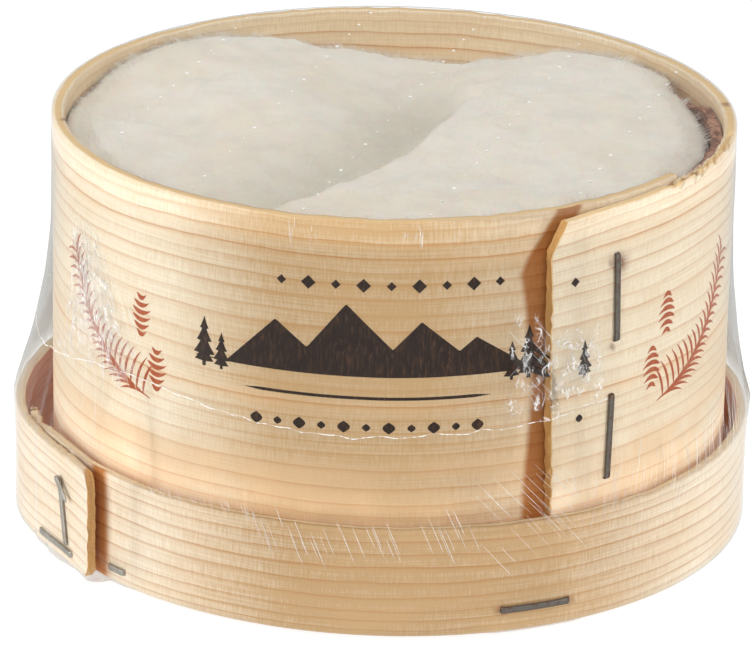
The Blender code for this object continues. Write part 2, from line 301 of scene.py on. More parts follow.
class Graph:
    """A material's node tree, with short calls for the nodes that the finishes share."""

    def __init__(self, name: str, **sockets: float | tuple) -> None:
        """Starts a material with a Principled shader.

        Args:
            name: The material's name.
            **sockets: Constant values of the shader's sockets, with _ for a blank in their names.
        """
        self.material = bpy.data.materials.new(name)
        self.material.use_nodes = True
        self.tree = self.material.node_tree
        self.shader = self.tree.nodes["Principled BSDF"]
        self.output = self.tree.nodes["Material Output"]
        for socket, value in sockets.items():
            self.shader.inputs[socket.replace("_", " ")].default_value = value

    def node(self, kind: str, inputs: dict | None = None, **settings: object) -> bpy.types.Node:
        """Adds a node.

        Args:
            kind: The node's type.
            inputs: Values or sockets for its inputs, by name or number.
            **settings: Its other settings.

        Returns:
            The node.
        """
        made = self.tree.nodes.new(kind)
        for key, value in settings.items():
            setattr(made, key, value)
        for key, value in (inputs or {}).items():
            if isinstance(value, Socket):
                self.tree.links.new(value, made.inputs[key])
            else:
                made.inputs[key].default_value = value
        return made

    def math(self, operation: str, *values: object, clamp: bool = False) -> Socket:
        """A Math node's result."""
        return self.node("ShaderNodeMath", dict(enumerate(values)), operation=operation,
                         use_clamp=clamp).outputs[0]

    def noise(self, vector: Socket, scale: Triple, detail: float = 2.0,
              roughness: float = 0.5, offset: float = 0.0) -> Socket:
        """Noise of a stretched place: its grains are one over the scale long each way.

        Args:
            vector: Where the noise is read.
            scale: Grains for each unit along X, Y and Z.
            detail: How many finer layers it has.
            roughness: How strong these are.
            offset: A shift that gives another draw.

        Returns:
            Values round 0.5.
        """
        place = self.node("ShaderNodeVectorMath", {0: vector, 1: scale, 2: (offset, offset, offset)},
                          operation="MULTIPLY_ADD").outputs[0]
        made = self.node("ShaderNodeTexNoise", {"Vector": place, "Scale": 1.0, "Detail": detail,
                                                "Roughness": roughness})
        return made.outputs["Fac"]

    def times(self, a: object, b: object, clamp: bool = False) -> Socket:
        """The product of two values."""
        return self.math("MULTIPLY", a, b, clamp=clamp)

    def plus(self, a: object, b: object, clamp: bool = False) -> Socket:
        """The sum of two values."""
        return self.math("ADD", a, b, clamp=clamp)

    def swing(self, noise: Socket, reach: float) -> Socket:
        """Noise turned into values round 0, which reach so far to both sides."""
        return self.times(self.math("SUBTRACT", noise, 0.5), reach)

    def curve(self, value: Socket, points: list[Pair]) -> Socket:
        """A value read from the line through points.

        Args:
            value: What is looked up, from 0 to 1.
            points: Inputs and their outputs, all from 0 to 1.

        Returns:
            The line's height there.
        """
        made = self.node("ShaderNodeFloatCurve", {"Value": value})
        line = made.mapping.curves[0].points
        for place in points[1:-1]:
            line.new(*place)
        for point, place in zip(line, points):
            point.location = place
            point.handle_type = "VECTOR"
        made.mapping.update()
        return made.outputs[0]

    def step(self, value: Socket, start: float, end: float) -> Socket:
        """A smooth step of a value from 0 at start to 1 at end."""
        return self.node("ShaderNodeMapRange", {"Value": value, "From Min": start, "From Max": end},
                         interpolation_type="SMOOTHSTEP").outputs["Result"]

    def blend(self, factor: object, a: object, b: object, mode: str = "MIX") -> Socket:
        """A colour mixed from two, in one of Blender's mixing modes."""
        made = self.node("ShaderNodeMix", {0: factor, 6: a, 7: b}, data_type="RGBA", blend_type=mode)
        return made.outputs[2]

    def bump(self, height: Socket, distance: float, under: Socket | None = None) -> Socket:
        """A normal tilted by a height, in units of the distance in metres, on top of another normal."""
        below = {} if under is None else {"Normal": under}
        return self.node("ShaderNodeBump", {"Height": height, "Distance": distance, **below}).outputs[0]

    def spot(self) -> Socket:
        """The place on the piece in metres, its Object coordinates."""
        return self.node("ShaderNodeTexCoord").outputs["Object"]

    def measure(self, name: str, output: str = "Fac") -> Socket:
        """A named value of the mesh, or a named vector where the output is Vector."""
        return self.node("ShaderNodeAttribute", attribute_name=name).outputs[output]

    def dress(self, colour: Socket | None, normal: Socket | None = None,
              roughness: Socket | None = None) -> Material:
        """Links what changes from place to place to the shader.

        Args:
            colour: Its colour, if that changes.
            normal: Its normal, if it isn't the surface's own.
            roughness: Its roughness, if that changes.

        Returns:
            The material.
        """
        for socket, value in (("Base Color", colour), ("Normal", normal), ("Roughness", roughness)):
            if value is not None:
                self.tree.links.new(value, self.shader.inputs[socket])
        return self.material


def srgb(red: int, green: int, blue: int) -> tuple[float, float, float, float]:
    """A colour as it looks on screen, made linear: c / 12.92 or ((c + 0.055) / 1.055) ** 2.4."""
    channels = (c / 255.0 for c in (red, green, blue))
    return (*(c / 12.92 if c <= 0.04045 else ((c + 0.055) / 1.055) ** 2.4 for c in channels), 1.0)


# Finishes

@dataclass(frozen=True)
class Spruce:
    """Planed spruce whose growth rings run along the strip. Lengths are in millimetres, shares from 0 to 1.

    Attributes:
        name: The material's name.
        width: The strip's height.
        rings: Heights and strengths of the dark lines.
        warm_grain_and_bounce: Heights and strengths of the warmer bands: low down painted bounce light off
            the lid, higher up warmer rings.
        length: The strip's length.
        tone: Places along the strip and how much darker it is there: painted shade in front and painted
            light at the sides.
        painted_shadow: Heights, and where along the strip the painted shadow of the lapped end beside it
            starts at each.
        inner: Colour multiplied over the face that is turned inwards; on the lid it paints the warm shade of
            the gap.
        inner_depth: Depth from which this colour shows.
        fine: Fine faint lines for each millimetre of height.
        seed: Shift of the noise.
        pale: Colour of the early wood.
        tan: Colour where the tone is dark.
        late: Colour of the dark lines.
        glow: Colour of the warmer bands, both painted bounce light and warm grain.
        rim: Colour of the edges.
        cut: Colour of the cut ends.
        rim_gap_shade: Colour of the painted shade on the rim's inner lip, by the shaded gap to the cheese.
        stain: Colour of the stains.
        painted_shadow_colour: What the painted shadow leaves of each colour.
        painted_shadow_soft: Where the painted shadow starts and is full, past its edge.
        painted_shadow_length: How far the painted shadow reaches.
        painted_glow: Strength of the painted glow, an emission low on the outer face that stands in for
            bounce light.
        waves: Heights of the rings' slow and quick waves.
        rim_gap_shade_along: Where along the strip the painted shade on the inner lip starts and is full.
        painted_glow_heights: Heights at which the painted glow ends and is full.
        relief: Heights in metres of the fibres, the checks and the torn grain at cuts.
    """

    name: str
    width: float
    rings: tuple[Pair, ...]
    warm_grain_and_bounce: tuple[Pair, ...]
    length: float
    tone: tuple[Pair, ...]
    painted_shadow: tuple[Pair, ...]
    inner: tuple
    inner_depth: float
    fine: float = 1.4
    seed: float = 0.0
    pale: tuple = srgb(252, 241, 219)
    tan: tuple = srgb(216, 181, 132)
    late: tuple = srgb(202, 136, 68)
    glow: tuple = srgb(250, 214, 170)
    rim: tuple = srgb(240, 208, 156)
    cut: tuple = srgb(230, 176, 106)
    rim_gap_shade: tuple = srgb(168, 112, 66)
    stain: tuple = srgb(120, 56, 30)
    painted_shadow_colour: tuple = (0.56, 0.29, 0.12, 1.0)
    painted_shadow_soft: Pair = (-0.5, 0.7)
    painted_shadow_length: float = 4.0
    painted_glow: float = 0.0
    waves: Pair = (3.0, 0.7)
    rim_gap_shade_along: Pair = (235.0, 265.0)
    painted_glow_heights: Pair = (21.0, 13.0)
    relief: Triple = (0.00005, 0.00002, 0.00025)

    def material(self) -> Material:
        """Builds the finish on the strip's own coordinates: millimetres along, up and into the wood.

        A line curve turns the height, waved by slow noise, into a count of rings, whose last part darkens.

        Returns:
            The material.
        """
        g = Graph(self.name, Roughness=0.52, IOR=1.45)
        place = g.measure("strip", "Vector")
        axes = g.node("ShaderNodeSeparateXYZ", {0: place})
        x, y, z = (axes.outputs[axis] for axis in "XYZ")
        slow = g.noise(place, (0.017, 0.05, 0.0), detail=1.0, offset=self.seed)
        quick = g.noise(place, (0.09, 0.3, 0.0), offset=self.seed + 3.0)
        wave = g.plus(g.swing(slow, self.waves[0]), g.swing(quick, self.waves[1]))
        share = g.math("DIVIDE", g.plus(y, wave), self.width, clamp=True)
        heights = [0.0] + [h for h, _ in self.rings] + [self.width]
        count = len(heights) - 1
        steps = [(h / self.width, k / count) for k, h in enumerate(heights)]
        part = g.math("FRACT", g.times(g.curve(share, steps), float(count)))
        dark = g.times(g.math("POWER", part, 8.0), g.step(part, 1.0, 0.95))
        band = g.times(g.math("POWER", part, 2.0), 0.16)
        strengths = [(h / self.width, s) for h, s in self.rings]
        strength = g.curve(share, [(0.0, strengths[0][1])] + strengths + [(1.0, strengths[-1][1])])
        streak = g.noise(place, (0.035, 1.1, 0.0), offset=self.seed + 7.0)
        line = g.times(g.times(g.times(dark, strength), g.step(streak, 0.0, 0.5)), 1.15, clamp=True)
        fibre = g.noise(place, (0.05, self.fine * 2.2, 1.0), detail=3.0, roughness=0.65, offset=self.seed)
        check = g.noise(place, (3.2, 0.35, 2.0), roughness=0.6, offset=self.seed + 1.0)
        blotch = g.noise(place, (0.04, 0.09, 0.2), offset=self.seed + 5.0)
        along = g.math("DIVIDE", x, self.length, clamp=True)
        # Painted shade along the strip: the tone curve darkens the wood in front and leaves it pale at the
        # sides.
        shade = g.curve(along, [(a / self.length, t) for a, t in self.tone])
        tone = g.plus(g.plus(g.times(g.step(blotch, 0.3, 0.75), 0.17), band), shade)
        tone = g.plus(g.plus(tone, g.swing(fibre, 0.9)), g.swing(check, 0.8), clamp=True)
        colour = g.blend(tone, self.pale, self.tan)
        # Warmer bands: low down painted warm bounce light off the lid, higher up warmer rings of the wood.
        warm_grain_and_bounce = g.curve(share, [(h / self.width, s) for h, s in self.warm_grain_and_bounce])
        colour = g.blend(g.times(warm_grain_and_bounce, g.step(blotch, 0.2, 0.7)), colour, self.glow)
        colour = g.blend(line, colour, self.late)
        # Painted shadow: a warm dark strip that the lapped end casts on the layer beside it, slanted at the
        # top.
        least = min(at for _, at in self.painted_shadow)
        start = g.curve(share, [(h / self.width, (at - least) / 10.0) for h, at in self.painted_shadow])
        beyond = g.math("SUBTRACT", x, g.math("MULTIPLY_ADD", start, 10.0, least))
        painted_shadow = g.times(g.step(beyond, *self.painted_shadow_soft), g.step(z, 0.9, 0.5))
        painted_shadow = g.times(painted_shadow, g.step(beyond, self.painted_shadow_length + 1.5, self.painted_shadow_length))
        colour = g.blend(painted_shadow, colour, self.painted_shadow_colour, "MULTIPLY")
        # Painted shade: the inner face is multiplied by the inner colour, the warm shade of the gap on the
        # lid.
        inside = g.step(z, self.inner_depth - 0.2, self.inner_depth)
        inside = g.times(inside, g.step(y, self.width - 0.3, self.width - 0.7))
        colour = g.blend(inside, colour, self.inner, "MULTIPLY")
        cut = g.measure("cut")
        grit = g.noise(place, (4.0, 4.0, 4.0), detail=3.0, roughness=0.7)
        colour = g.blend(g.step(cut, 0.15, 0.45), colour, self.rim)
        colour = g.blend(g.times(g.step(cut, 0.6, 0.95), g.step(grit, 0.25, 0.5)), colour, self.cut)
        # Painted shade on the rim's inner lip, where it meets the shaded gap to the cheese.
        lip = g.times(g.step(z, self.inner_depth, self.inner_depth + 0.45),
                      g.step(y, self.width - 0.5, self.width - 0.2))
        lip = g.times(lip, g.step(x, *self.rim_gap_shade_along))
        colour = g.blend(g.times(lip, g.step(blotch, 0.25, 0.6)), colour, self.rim_gap_shade)
        stain = g.times(g.measure("stain"), g.step(grit, 0.22, 0.52))
        colour = g.blend(stain, colour, self.stain)
        # Painted glow: an emission on the outer face low down that stands in for bounce light.
        through = g.times(g.times(g.step(y, *self.painted_glow_heights), g.step(z, 0.6, 0.2)), self.painted_glow)
        g.tree.links.new(colour, g.shader.inputs["Emission Color"])
        g.tree.links.new(through, g.shader.inputs["Emission Strength"])
        normal = g.bump(check, self.relief[1], g.bump(fibre, self.relief[0]))
        normal = g.bump(g.times(grit, cut), self.relief[2], normal)
        return g.dress(colour, normal, g.plus(g.times(fibre, 0.2), 0.42))


@dataclass(frozen=True)
class SawnBoard:
    """Sawn spruce of the boards, with straight grain along X and the saw's faint marks."""

    name: str
    pale: tuple = srgb(232, 206, 164)
    late: tuple = srgb(190, 140, 90)

    def material(self) -> Material:
        """Builds the finish on Object coordinates: rings across Y, waved by noise.

        Returns:
            The material.
        """
        g = Graph(self.name, Roughness=0.7)
        place = g.spot()
        across = g.node("ShaderNodeSeparateXYZ", {0: place}).outputs["Y"]
        wave = g.times(g.noise(place, (10.0, 60.0, 60.0)), 2.5)
        rings = g.math("FRACT", g.plus(g.times(across, 210.0), wave))
        fibre = g.noise(place, (60.0, 2500.0, 2500.0), detail=3.0)
        colour = g.blend(g.math("POWER", rings, 4.0), self.pale, self.late)
        return g.dress(g.blend(g.times(fibre, 0.5), colour, self.late), g.bump(fibre, 0.0001))


@dataclass(frozen=True)
class Bark:
    """Damp inner bark of spruce: rosy brown, with fibres along the strap and darker flecks."""

    name: str
    rosy: tuple = srgb(190, 146, 124)
    brown: tuple = srgb(118, 78, 62)

    def material(self) -> Material:
        """Builds the finish by noise on Object coordinates.

        Returns:
            The material.
        """
        g = Graph(self.name, Roughness=0.8)
        place = g.spot()
        fibre = g.noise(place, (250.0, 250.0, 1600.0), detail=4.0, roughness=0.7)
        fleck = g.times(g.step(g.noise(place, (700.0, 700.0, 900.0)), 0.5, 0.7), 0.5)
        tone = g.plus(g.step(fibre, 0.35, 0.65), fleck, clamp=True)
        return g.dress(g.blend(tone, self.rosy, self.brown), g.bump(fibre, 0.0004))


@dataclass(frozen=True)
class Rind:
    """White mould on a cream rind: matt, soft, a little clear to light, with painted shade in its fold and a
    darker, pinker painted shade at its edge.
    """

    name: str
    mould: tuple = srgb(240, 235, 226)
    cream: tuple = srgb(238, 229, 214)
    grey_and_fold_shade: tuple = srgb(212, 206, 191)
    edge: tuple = srgb(120, 84, 70)

    def material(self) -> Material:
        """Builds the finish: noise on Object coordinates, and the mesh's own measures of fold and edge,
        which carry painted shade.

        Returns:
            The material.
        """
        g = Graph(self.name, Roughness=0.95, Subsurface_Weight=0.35, Subsurface_Scale=0.003,
                  Sheen_Weight=0.25, Sheen_Roughness=0.6)
        place = g.spot()
        cloud = g.noise(place, (60.0, 60.0, 60.0), detail=3.0, roughness=0.6)
        soft = g.noise(place, (170.0, 170.0, 170.0), detail=3.0, roughness=0.6, offset=4.0)
        nap = g.noise(place, (2600.0, 2600.0, 2600.0), detail=3.0, roughness=0.7)
        colour = g.blend(g.step(cloud, 0.38, 0.7), self.mould, self.cream)
        # Grey in soft patches of the rind, and painted shade in the fold's crease from the mesh's fold
        # measure.
        shade = g.plus(g.times(g.step(soft, 0.4, 0.8), 0.35), g.measure("fold"), clamp=True)
        colour = g.blend(shade, colour, self.grey_and_fold_shade)
        # Painted shade at the cheese's edge: a dark pinkish brown for the shaded gap along the box's side.
        colour = g.blend(g.times(g.measure("edge"), g.step(soft, 0.2, 0.6)), colour, self.edge)
        return g.dress(colour, g.bump(nap, 0.00012, g.bump(soft, 0.0003)))


@dataclass(frozen=True)
class MouldHair:
    """Fine white hairs of mould."""

    name: str
    white: tuple = srgb(246, 242, 234)
    cream: tuple = srgb(232, 224, 212)

    def material(self) -> Material:
        """Builds the finish, with slight changes of tone from place to place."""
        g = Graph(self.name, Roughness=0.9, Subsurface_Weight=0.4, Subsurface_Scale=0.001)
        return g.dress(g.blend(g.noise(g.spot(), (300.0, 300.0, 300.0)), self.white, self.cream))


@dataclass(frozen=True)
class StapleWire:
    """Dull galvanised wire, with rust flecks.

    Attributes:
        name: The material's name.
        steel: The metal's colour.
        rusted: How much rust shows, from 0 to 1.
        rust: The rust's colour.
    """

    name: str
    steel: tuple
    rusted: float
    rust: tuple = srgb(110, 66, 40)

    def material(self) -> Material:
        """Builds the finish: metal with worn spots and brown flecks, by noise on Object coordinates.

        Returns:
            The material.
        """
        g = Graph(self.name, Metallic=0.85)
        worn = g.noise(g.spot(), (900.0, 900.0, 900.0), detail=4.0, roughness=0.7)
        colour = g.blend(g.times(g.step(worn, 0.5, 0.66), self.rusted), self.steel, self.rust)
        return g.dress(colour, g.bump(worn, 0.00012), g.plus(g.times(worn, 0.35), 0.25))


@dataclass(frozen=True)
class Ink:
    """Stamped ink that lets a little of the wood's grain through.

    Attributes:
        name: The material's name.
        full: The ink's colour.
        thin: The colour where it is worn thin.
    """

    name: str
    full: tuple
    thin: tuple

    def material(self) -> Material:
        """Builds the finish on Object coordinates, thin where fine upright noise is high.

        Returns:
            The material.
        """
        g = Graph(self.name, Roughness=0.6)
        grain = g.noise(g.spot(), (2200.0, 2200.0, 500.0), detail=3.0, roughness=0.7)
        return g.dress(g.blend(g.step(grain, 0.45, 0.78), self.full, self.thin))


@dataclass(frozen=True)
class ClearFilm:
    """Clear shrink film: see-through, with the mirror gloss that grows where it is seen from the side.

    Attributes:
        name: The material's name.
        veil: Share of light that the film stops when it is seen square on.
        gain: How fast this grows with the angle.
        roughness: The gloss's roughness.
        ripple: Height of the fine wrinkles in metres.
        whiteness: Share of the film's own white, against its mirror gloss.
        most: Largest share of light that it stops.
        tint: Its own colour.
        edge_on: Colour of what is seen through it edge on, where it hangs free beside the box.
        marked: Whether the mesh tells, in "glint" and "fade", where its painted highlights lie and where it
            ends.
        free: Heights in metres between which the film hangs free: where this starts, is full, and ends.
    """

    name: str
    veil: float
    gain: float
    roughness: float
    ripple: float
    whiteness: float
    most: float = 0.62
    tint: tuple = (0.95, 0.95, 0.95, 1.0)
    edge_on: tuple = (1.0, 1.0, 1.0, 1.0)
    marked: bool = False
    free: tuple[float, float, float, float] = (0.018, 0.022, 0.064, 0.067)

    def material(self) -> Material:
        """Mixes a Transparent shader with a bright Principled one, by Fresnel, noise and the mesh's marks.

        Returns:
            The material.
        """
        g = Graph(self.name, Roughness=self.roughness, Metallic=1.0 - self.whiteness, Base_Color=self.tint)
        place = g.spot()
        fine = g.noise(place, (160.0, 160.0, 60.0), detail=3.0, roughness=0.6)
        broad = g.noise(place, (38.0, 38.0, 22.0), detail=1.0, offset=2.0)
        normal = g.bump(fine, self.ripple, g.bump(broad, self.ripple * 5.0))
        mirror = g.node("ShaderNodeFresnel", {"IOR": 1.45, "Normal": normal}).outputs[0]
        grazing = g.math("MAXIMUM", g.math("SUBTRACT", mirror, 0.036), 0.0)
        share = g.plus(g.times(grazing, self.gain), self.veil)
        if self.marked:
            # Painted highlights: the mesh's glint turns the film white along its creases.
            share = g.plus(g.times(share, g.measure("fade")), g.measure("glint"))
        share = g.math("MINIMUM", share, self.most)
        g.dress(None, normal)
        height = g.node("ShaderNodeSeparateXYZ", {0: place}).outputs["Z"]
        free = g.times(g.step(height, *self.free[:2]), g.step(height, *self.free[:1:-1]))
        through = g.blend(g.times(free, g.step(mirror, 0.15, 0.8)), (1.0, 1.0, 1.0, 1.0), self.edge_on)
        clear = g.node("ShaderNodeBsdfTransparent", {"Color": through})
        mixed = g.node("ShaderNodeMixShader", {0: share, 1: clear.outputs[0], 2: g.shader.outputs[0]})
        g.tree.links.new(mixed.outputs[0], g.output.inputs["Surface"])
        return g.material


@dataclass(frozen=True)
class Paper:
    """The studio's pale floor, which glows a little so that it stays white."""

    name: str
    white: tuple = (0.24, 0.24, 0.24, 1.0)
    grain: tuple = (0.26, 0.26, 0.26, 1.0)
    glow: float = 0.86

    def material(self) -> Material:
        """Builds the finish with a barely seen grain."""
        g = Graph(self.name, Roughness=0.9, Emission_Color=(1.0, 1.0, 1.0, 1.0), Emission_Strength=self.glow)
        return g.dress(g.blend(g.noise(g.spot(), (30.0, 30.0, 30.0)), self.white, self.grain))


# The frame's places

@dataclass(frozen=True)
class Pack:
    """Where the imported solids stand, in millimetres, with the axes of the box and of the lid."""

    box_axis: Array
    lid_axis: Array
    box_bottom: float
    rim: float
    lid_bottom: float
    lid_top: float
    cheese_bottom: float

    @staticmethod
    def from_frame() -> "Pack":
        """Reads the places from the CAD nodes' boxes.

        Returns:
            The places.
        """
        low, high = {}, {}
        for node in ("box_base", "box_side", "lid_board", "lid_band", "cheese"):
            low[node], high[node] = (np.array(corner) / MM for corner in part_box(node))
        middle = {node: (low[node] + high[node]) / 2.0 for node in low}
        return Pack(middle["box_base"][:2], middle["lid_board"][:2], low["box_side"][2], high["box_side"][2],
                    low["lid_band"][2], high["lid_band"][2], low["cheese"][2])


# Spruce strips

class Turn(Enum):
    """Which way a strip runs from its outer end, seen from above."""

    COUNTERCLOCKWISE = 1.0
    CLOCKWISE = -1.0


@dataclass
class Strip:
    """A thin strip of spruce, bent round until its ends lap. Each kind gives its own radius and ends.

    A place on it is its run in degrees from the outer end, its height above the floor and its depth under
    the outer face.
    """

    pack: Pack
    axis: Array
    bottom: float
    top: float
    end_angle: float
    wall: float
    turn: Turn
    lap: float = 31.0
    lap_gap: float = 0.35
    edge: float = 0.35
    row_step: float = 1.1
    stations: float = 0.85
    edge_columns: int = 5
    rim_cut: float = 0.5
    stains: tuple[tuple[float, float, float, float], ...] = ()

    def radius(self, run: Array) -> Array:
        """Radius of the outer face along the run."""
        raise NotImplementedError

    def ends(self, run: Array, height: Array, depth: Array) -> tuple[Array, Array, Array]:
        """Run, height and radius shift after the ends are cut, torn and sprung."""
        raise NotImplementedError

    def outside(self, angle: Array) -> Array:
        """Outermost radius at an angle."""
        return self.radius(self.run_at(angle))

    def run_at(self, angle: Array) -> Array:
        """Run of the outermost layer at an angle."""
        return ((np.asarray(angle, float) - self.end_angle) * self.turn.value) % 360.0

    def place(self, run: Array, height: Array, depth: Array) -> Array:
        """Points of the strip: out at the radius less the depth, round by the run, up at the height.

        Args:
            run: Degrees from the outer end.
            height: Heights above the floor.
            depth: Depths under the outer face.

        Returns:
            Points in millimetres.
        """
        run, height, shift = self.ends(run, height, depth)
        radius = self.radius(run) + shift - depth
        return polar(radius, self.end_angle + self.turn.value * run, height, self.axis)

    def profile(self) -> tuple[Array, Array]:
        """The wall's outer face with its round edges, as heights and depths.

        Returns:
            Heights and depths, bottom to top.
        """
        turn = np.radians(np.linspace(0.0, 90.0, 4))
        lift, sink = self.edge * (1.0 - np.cos(turn)), self.edge * (1.0 - np.sin(turn))
        rows = int((self.top - self.bottom) / self.row_step)
        face = np.linspace(self.bottom + self.edge, self.top - self.edge, rows)[1:-1]
        heights = np.concatenate((self.bottom + lift, face, self.top - lift[::-1]))
        return heights, np.concatenate((sink, np.zeros(len(face)), sink[::-1]))

    def shape(self) -> Shape:
        """Carries the cross-section along the run and closes both ends.

        Returns:
            The strip, with its own coordinates in "strip", its cut ends in "cut" and its stains in "stain".
        """
        heights, sink = self.profile()
        side = len(heights)
        across = np.linspace(self.edge, self.wall - self.edge, self.edge_columns + 2)[1:-1]
        loop_height = np.concatenate((heights, np.full(len(across), self.top), heights[::-1],
                                      np.full(len(across), self.bottom)))
        loop_depth = np.concatenate((sink, across, self.wall - sink[::-1], across[::-1]))
        length = 360.0 + self.lap
        runs = np.concatenate((np.linspace(0.0, 6.0, 22)[:-1], np.arange(6.0, length - 6.0, self.stations),
                               np.linspace(length - 6.0, length, 22)))
        loops = np.arange(len(runs) * len(loop_height)).reshape(len(runs), -1)
        run = np.repeat(runs[:, None], len(loop_height), 1)
        height = np.repeat(loop_height[None], len(runs), 0)
        depth = np.repeat(loop_depth[None], len(runs), 0)
        edge = np.zeros(height.shape)
        edge[:, side:side + len(across)] = 1.0
        edge[:, 2 * side + len(across):] = 1.0
        quads = [grid_quads(closed_columns(loops))[:, ::-1]]
        extra = [[], [], []]
        start = loops.size
        for station in (0, -1):
            loop = loops[station]
            cap = np.empty((side, len(across) + 2), int)
            cap[:, 0], cap[:, -1] = loop[:side], loop[side + len(across):2 * side + len(across)][::-1]
            cap[-1, 1:-1], cap[0, 1:-1] = loop[side:side + len(across)], loop[2 * side + len(across):][::-1]
            inner = (side - 2) * len(across)
            cap[1:-1, 1:-1] = start + np.arange(inner).reshape(side - 2, -1)
            start += inner
            share = ((across - across[0]) / (across[-1] - across[0]))[None]
            low = (self.edge + sink)[1:-1, None]
            extra[0].append(np.full(inner, runs[station]))
            extra[1].append(np.repeat(heights[1:-1, None], len(across), 1).ravel())
            extra[2].append(mix(low, self.wall - low, share).ravel())
            quads.append(grid_quads(cap) if station else grid_quads(cap)[:, ::-1])
        run, height, depth = (np.concatenate((a.ravel(), *b)) for a, b in zip((run, height, depth), extra))
        points = self.place(run, height, depth)
        along = np.radians(run) * self.radius(run)
        cut = np.clip(1.0 - np.minimum(along, along.max() - along) / 0.4, 0.0, 1.0)
        rim = np.concatenate((edge.ravel(), np.zeros(len(run) - edge.size)))
        stain = np.zeros(len(run))
        for at_run, at_height, at_depth, size in self.stains:
            away = np.hypot(along - math.radians(at_run) * float(self.radius(np.array(at_run))),
                            np.hypot(height - at_height, depth - at_depth))
            stain = np.maximum(stain, np.exp(-(away / size) ** 2) * (run < 360.0))
        values = {"strip": coords(along, height - self.bottom, depth),
                  "cut": np.maximum(cut, self.rim_cut * rim), "stain": stain}
        return Shape(points, np.concatenate(quads), values=values).facing_out()


@dataclass
class BoxSide(Strip):
    """The box's side: springs off at its outer end, which has a cut corner, and is torn at its inner end."""

    base_radius: float = 56.5
    tuck: float = 0.9
    spring: float = 1.5
    corner_height: float = 5.0
    corner_angle: float = 3.0
    lean: Pair = (2.6, 0.2)
    drop: float = 1.2

    def sprung(self, run: Array) -> Array:
        """How far the outer end springs off: its spring times (1 - run / 16) squared, up to 16 degrees."""
        return self.spring * np.maximum(0.0, 1.0 - np.maximum(0.0, run) / 16.0) ** 2

    def radius(self, run: Array) -> Array:
        """Rides over the inner layer for the lap, settles by 104 degrees, and tucks in under it from 333.

        Args:
            run: Degrees from the outer end.

        Returns:
            Radius of the outer face.
        """
        run = np.asarray(run, float)
        over = self.wall + self.lap_gap - self.tuck
        outer = self.base_radius + over * (1.0 - smooth(run, 24.0, 104.0)) + self.sprung(run)
        return np.where(run >= 330.0, self.base_radius - self.tuck * smooth(run, 333.0, 364.0), outer)

    def ends(self, run: Array, height: Array, depth: Array) -> tuple[Array, Array, Array]:
        """Cuts the corner, leans, lowers and eases the outer end, tears the inner end, and chips the rim.

        Args:
            run: Degrees from the outer end.
            height: Heights above the floor.
            depth: Depths under the outer face.

        Returns:
            The moved run and height, and how far the radius is moved.
        """
        along = run / (360.0 + self.lap)
        lift = (height - self.bottom) / (self.top - self.bottom)
        corner = np.maximum(0.0, height - (self.top - self.corner_height)) / self.corner_height
        corner = self.corner_angle * corner + mix(*self.lean, lift)
        torn = 0.9 * np.sin(0.31 * height)
        place = coords(height, depth * 1.5)
        rough = 0.12 * Ripple(0.9, 3).at(place)
        splinter = 0.5 * np.abs(Ripple(2.2, 5).at(place))
        moved = run + corner * (1.0 - along) ** 30 + torn * along ** 60
        moved = moved + rough * (1.0 - smooth(run, 0.0, 1.0))
        moved = moved + (rough - splinter) * smooth(run, 390.0, 391.0)
        eased = self.sprung(moved) * (1.0 - lift) * 0.7
        sunk = self.drop * lift * np.maximum(0.0, 1.0 - run / 34.0)
        wavy = 0.10 * np.abs(Ripple(9.0, 11).at(run[..., None] * [1.0, 0.0])) * smooth(lift, 0.9, 1.0)
        torn_rim = smooth(run, 25.0, 29.0) * (1.0 - smooth(run, 54.0, 58.0)) * smooth(lift, 0.975, 1.0)
        chips = 0.55 * np.abs(Ripple(2.4, 21).at(coords(run, 1.6 * depth))) * torn_rim
        bent = 0.04 * np.tanh(Ripple(30.0, 8).at(coords(run, height)))
        return moved, height - sunk - wavy - chips, bent - eased


